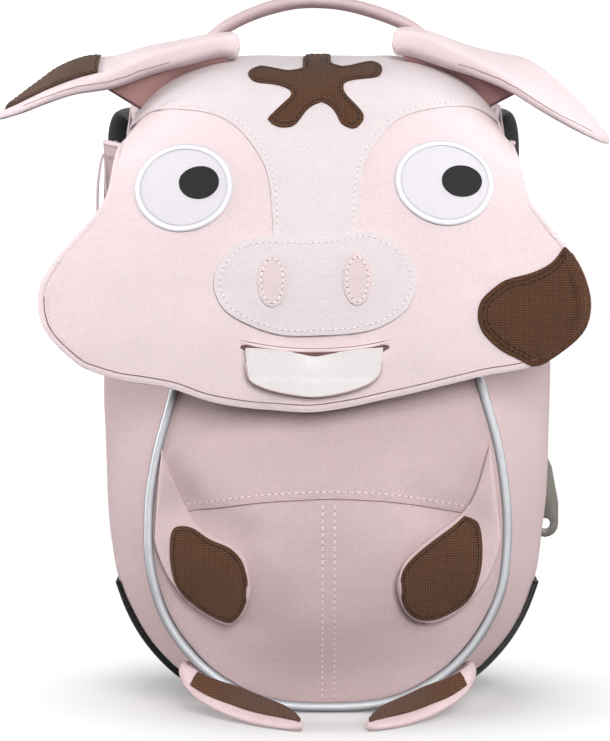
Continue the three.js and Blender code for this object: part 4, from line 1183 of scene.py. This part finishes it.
class BACKPACK_OT_limbs(Operator):
    """Sews the ears, the arms and the feet"""

    bl_idname = "backpack.limbs"
    bl_label = "Ears, arms and feet"

    def execute(self, context):
        for side in SIDES:
            soft_piece(f"ear_{side}", "head", "pink_canvas", 0.0)
            soft_piece(f"arm_{side}", "body", "pink_canvas", 0.0)
            soft_piece(f"foot_{side}", "body", "pink_canvas", 0.0, fold=False)
        for side, top, bottom in (
            ("left", (-0.045, -0.099), (-0.045, -0.083)),
            ("right", (0.034, 0.086), (0.034, 0.072)),
        ):
            self.ear_root(side, top, bottom)
        for side, ends in (("left", (-0.136, -0.07)), ("right", (0.058, 0.119))):
            self.ear_seam(side, *ends)
        return {"FINISHED"}

    def ear_seam(self, side, first, last):
        """The sewn fold just above an ear's lower edge, drawn as a dark line of painted shade."""
        ear = made(f"ear_{side}")
        tree = surface_of(ear)
        points = []
        for i in range(EAR_SEAM_STEPS + 1):
            x, z = first + (last - first) * i / EAR_SEAM_STEPS, 0.24
            while tree.ray_cast(Vector((x, -0.2, z)), Vector((0, 1, 0)))[0] is None:
                z += 0.0004
                if z > 0.32:
                    raise RuntimeError(f"no {side} ear at {x}")
            points.append((x, z + 0.003))
        stations = [(p, along, up) for p, _, along, up in frames(line_on(ear, points), False)]
        seam = sweep(f"ear_seam_{side}", stations, oval(0.00022, 0.00018), False)
        dress(seam, "soft seam", slot="pink_canvas")

    def ear_root(self, side, top, bottom):
        """The cloth that joins an ear's underside to the head, pleated a little; its darker pink
        is painted shade under the ear.
        """
        ear, flap = surface_of(made(f"ear_{side}")), surface_of(made("flap"))
        bm = bmesh.new()
        bmesh.ops.create_grid(bm, x_segments=24, y_segments=8, size=1.0)
        low_y, high_y = EAR_ROOT_Y
        for vertex in bm.verts:
            across, up = (vertex.co.x + 1) / 2, (vertex.co.y + 1) / 2
            ends = []
            for (near, far), y, tree, way in ((bottom, low_y, flap, -1), (top, high_y, ear, 1)):
                start = Vector((near + (far - near) * across, y, 0.33 if way < 0 else 0.22))
                hit = tree.ray_cast(start, Vector((0, 0, way)))[0]
                if hit is None:
                    raise RuntimeError(f"nothing at {start} for the {side} ear's root")
                ends.append(hit + Vector((0, 0, way * 0.0008)))
            vertex.co = ends[0].lerp(ends[1], up)
            pleat = math.sin(across * 9 + up * 2) * 0.0008
            vertex.co.y -= math.sin(math.pi * up) * (0.0015 + pleat)
        bmesh.ops.solidify(bm, geom=bm.faces[:], thickness=0.0012)
        root = smooth_mesh(bm, f"ear_fold_{side}_cloth", 0)
        # Painted shade: the root is dressed darker than the ear and the head.
        dress(root, "ear root painted shade", f"ear_fold_{side}", slot="pink_canvas")


class BACKPACK_OT_carrying(Operator):
    """Makes the handle, the shoulder straps, the webbing and the adjusters"""

    bl_idname = "backpack.carrying"
    bl_label = "Handle and straps"

    def execute(self, context):
        soft_piece("carry_handle", "body", "pink_canvas", 0.0)
        for side in SIDES:
            soft_piece(f"shoulder_strap_{side}", "straps", "grey_canvas", 0.0, fold=False)
            soft_piece(f"webbing_{side}", "straps", "grey_webbing", 0.0003, fold=False)
            node = f"adjuster_{side}"
            adjuster = smooth_mesh(sewn_copy(node, 0.0006), node + "_plastic", 0)
            dress(adjuster, "plastic", node, slot="grey_plastic")
        return {"FINISHED"}


class BACKPACK_OT_stitching(Operator):
    """Sews all visible seams with dashed stitches"""

    bl_idname = "backpack.stitching"
    bl_label = "Stitching"

    def execute(self, context):
        self.face()
        self.body()
        self.back()
        self.spots()
        return {"FINISHED"}

    def face(self):
        """Seams down both sides of the forehead, round the snout and round the nostrils."""
        inset = cloth().seam_inset
        pale = Stitches("face_seams", "thread", "holes", "pale_canvas")
        for way in (-1, 1):
            line, closed = edge_line(
                "forehead_panel",
                PATCH,
                keep=lambda p: 0.2185 < p.z < 0.268 and (p.x + 0.005) * way > 0.003,
            )
            line = line if line[0][0].z > line[-1][0].z else line[::-1]
            end, up = line[-1]
            line.append((end + Vector((0.0, -0.0009, -0.0055)), up))
            pale.sew(line, closed, made("forehead_panel"), (inset + 0.0003) * -way)
        pale.around("snout", SHEET, inset, 0.0027)
        pale.knot_off()
        nostrils = Stitches("nostril_seams", "thread", "mouth", "inner_pink")
        for side in SIDES:
            nostrils.around(f"nostril_{side}", PATCH, 0.0015, 0.0026, 1.25)
        nostrils.knot_off()

    def body(self):
        """A seam along the pocket and two down its middle."""
        pink = Stitches("body_seams", "pink thread", "pink holes", "pink_canvas")
        pink.around("front_panel", SHEET, 0.003, keep=on_pocket_seam)
        pocket = made("front_pocket")
        for x in (-0.0024, 0.0029):
            points = [(x, z * MM) for z in (93.5, 80, 65, 50, 35, 22, 12, 6.5)]
            pink.sew(line_on(pocket, points), False, pocket)
        pink.knot_off()

    def back(self):
        """The quilting of the back and the seams of the shoulder straps."""
        grey = Stitches("back_seams", "grey thread", "dark holes", "grey_canvas")
        back = made("back_panel")
        for inset in (0.005, QUILT_INSET):
            grey.sew(inside_outline(back, BACK_MIDDLE, inset), True, back, 0.0, 0.0036, 1.2)
        for side in SIDES:
            grey.around(f"shoulder_strap_{side}", STRAP, 0.004, 0.0036, 1.2, fold=False)
        grey.knot_off()

    def spots(self):
        """One seam round each brown piece, and two on the cheek."""
        brown = Stitches("spot_seams", "dark thread", "dark holes", "brown_canvas")
        brown.around("forehead_tuft", PATCH, 0.0015, 0.0027, 1.25)
        for inset in (0.0015, 0.0033):
            brown.around("cheek_patch", PATCH, inset, 0.0027, 1.25, keep=on_cheek_inside)
        brown.around("ear_patch", PATCH, 0.0015, 0.0027, 1.25)
        for limb in ("arm", "foot"):
            for side in SIDES:
                node = f"{limb}_patch_{side}"
                brown.around(node, PATCH, 0.0015, 0.0027, 1.25, fold=limb != "foot")
        brown.knot_off()


class BACKPACK_PT_sidebar(Panel):
    """Lists the backpack's operators and settings"""

    bl_label = "Pig backpack"
    bl_idname = "BACKPACK_PT_sidebar"
    bl_space_type = "VIEW_3D"
    bl_region_type = "UI"
    bl_category = "Backpack"

    def draw(self, context):
        layout = self.layout
        for operator in OPERATORS:
            layout.operator(operator.bl_idname)
        for name in SETTINGS:
            settings = getattr(context.scene, name)
            box = layout.box()
            for key in settings.__annotations__:
                box.prop(settings, key)


OPERATORS = (
    BACKPACK_OT_stage,
    BACKPACK_OT_drawcord,
    BACKPACK_OT_body,
    BACKPACK_OT_head,
    BACKPACK_OT_face,
    BACKPACK_OT_limbs,
    BACKPACK_OT_spots,
    BACKPACK_OT_carrying,
    BACKPACK_OT_stitching,
)
SETTINGS = {
    "backpack_cloth": BackpackCloth,
    "backpack_colours": BackpackColours,
    "backpack_stage": BackpackStage,
}
CLASSES = (*SETTINGS.values(), *OPERATORS, BACKPACK_PT_sidebar)


def register():
    noise.seed_set(FOLD_SEED)
    for made_class in CLASSES:
        bpy.utils.register_class(made_class)
    for name, group in SETTINGS.items():
        setattr(bpy.types.Scene, name, PointerProperty(type=group))


def unregister():
    for name in SETTINGS:
        delattr(bpy.types.Scene, name)
    for made_class in reversed(CLASSES):
        bpy.utils.unregister_class(made_class)


def main():
    register()
    for operator in OPERATORS:
        group, name = operator.bl_idname.split(".")
        getattr(getattr(bpy.ops, group), name)()


if __name__ == "__main__":
    main()
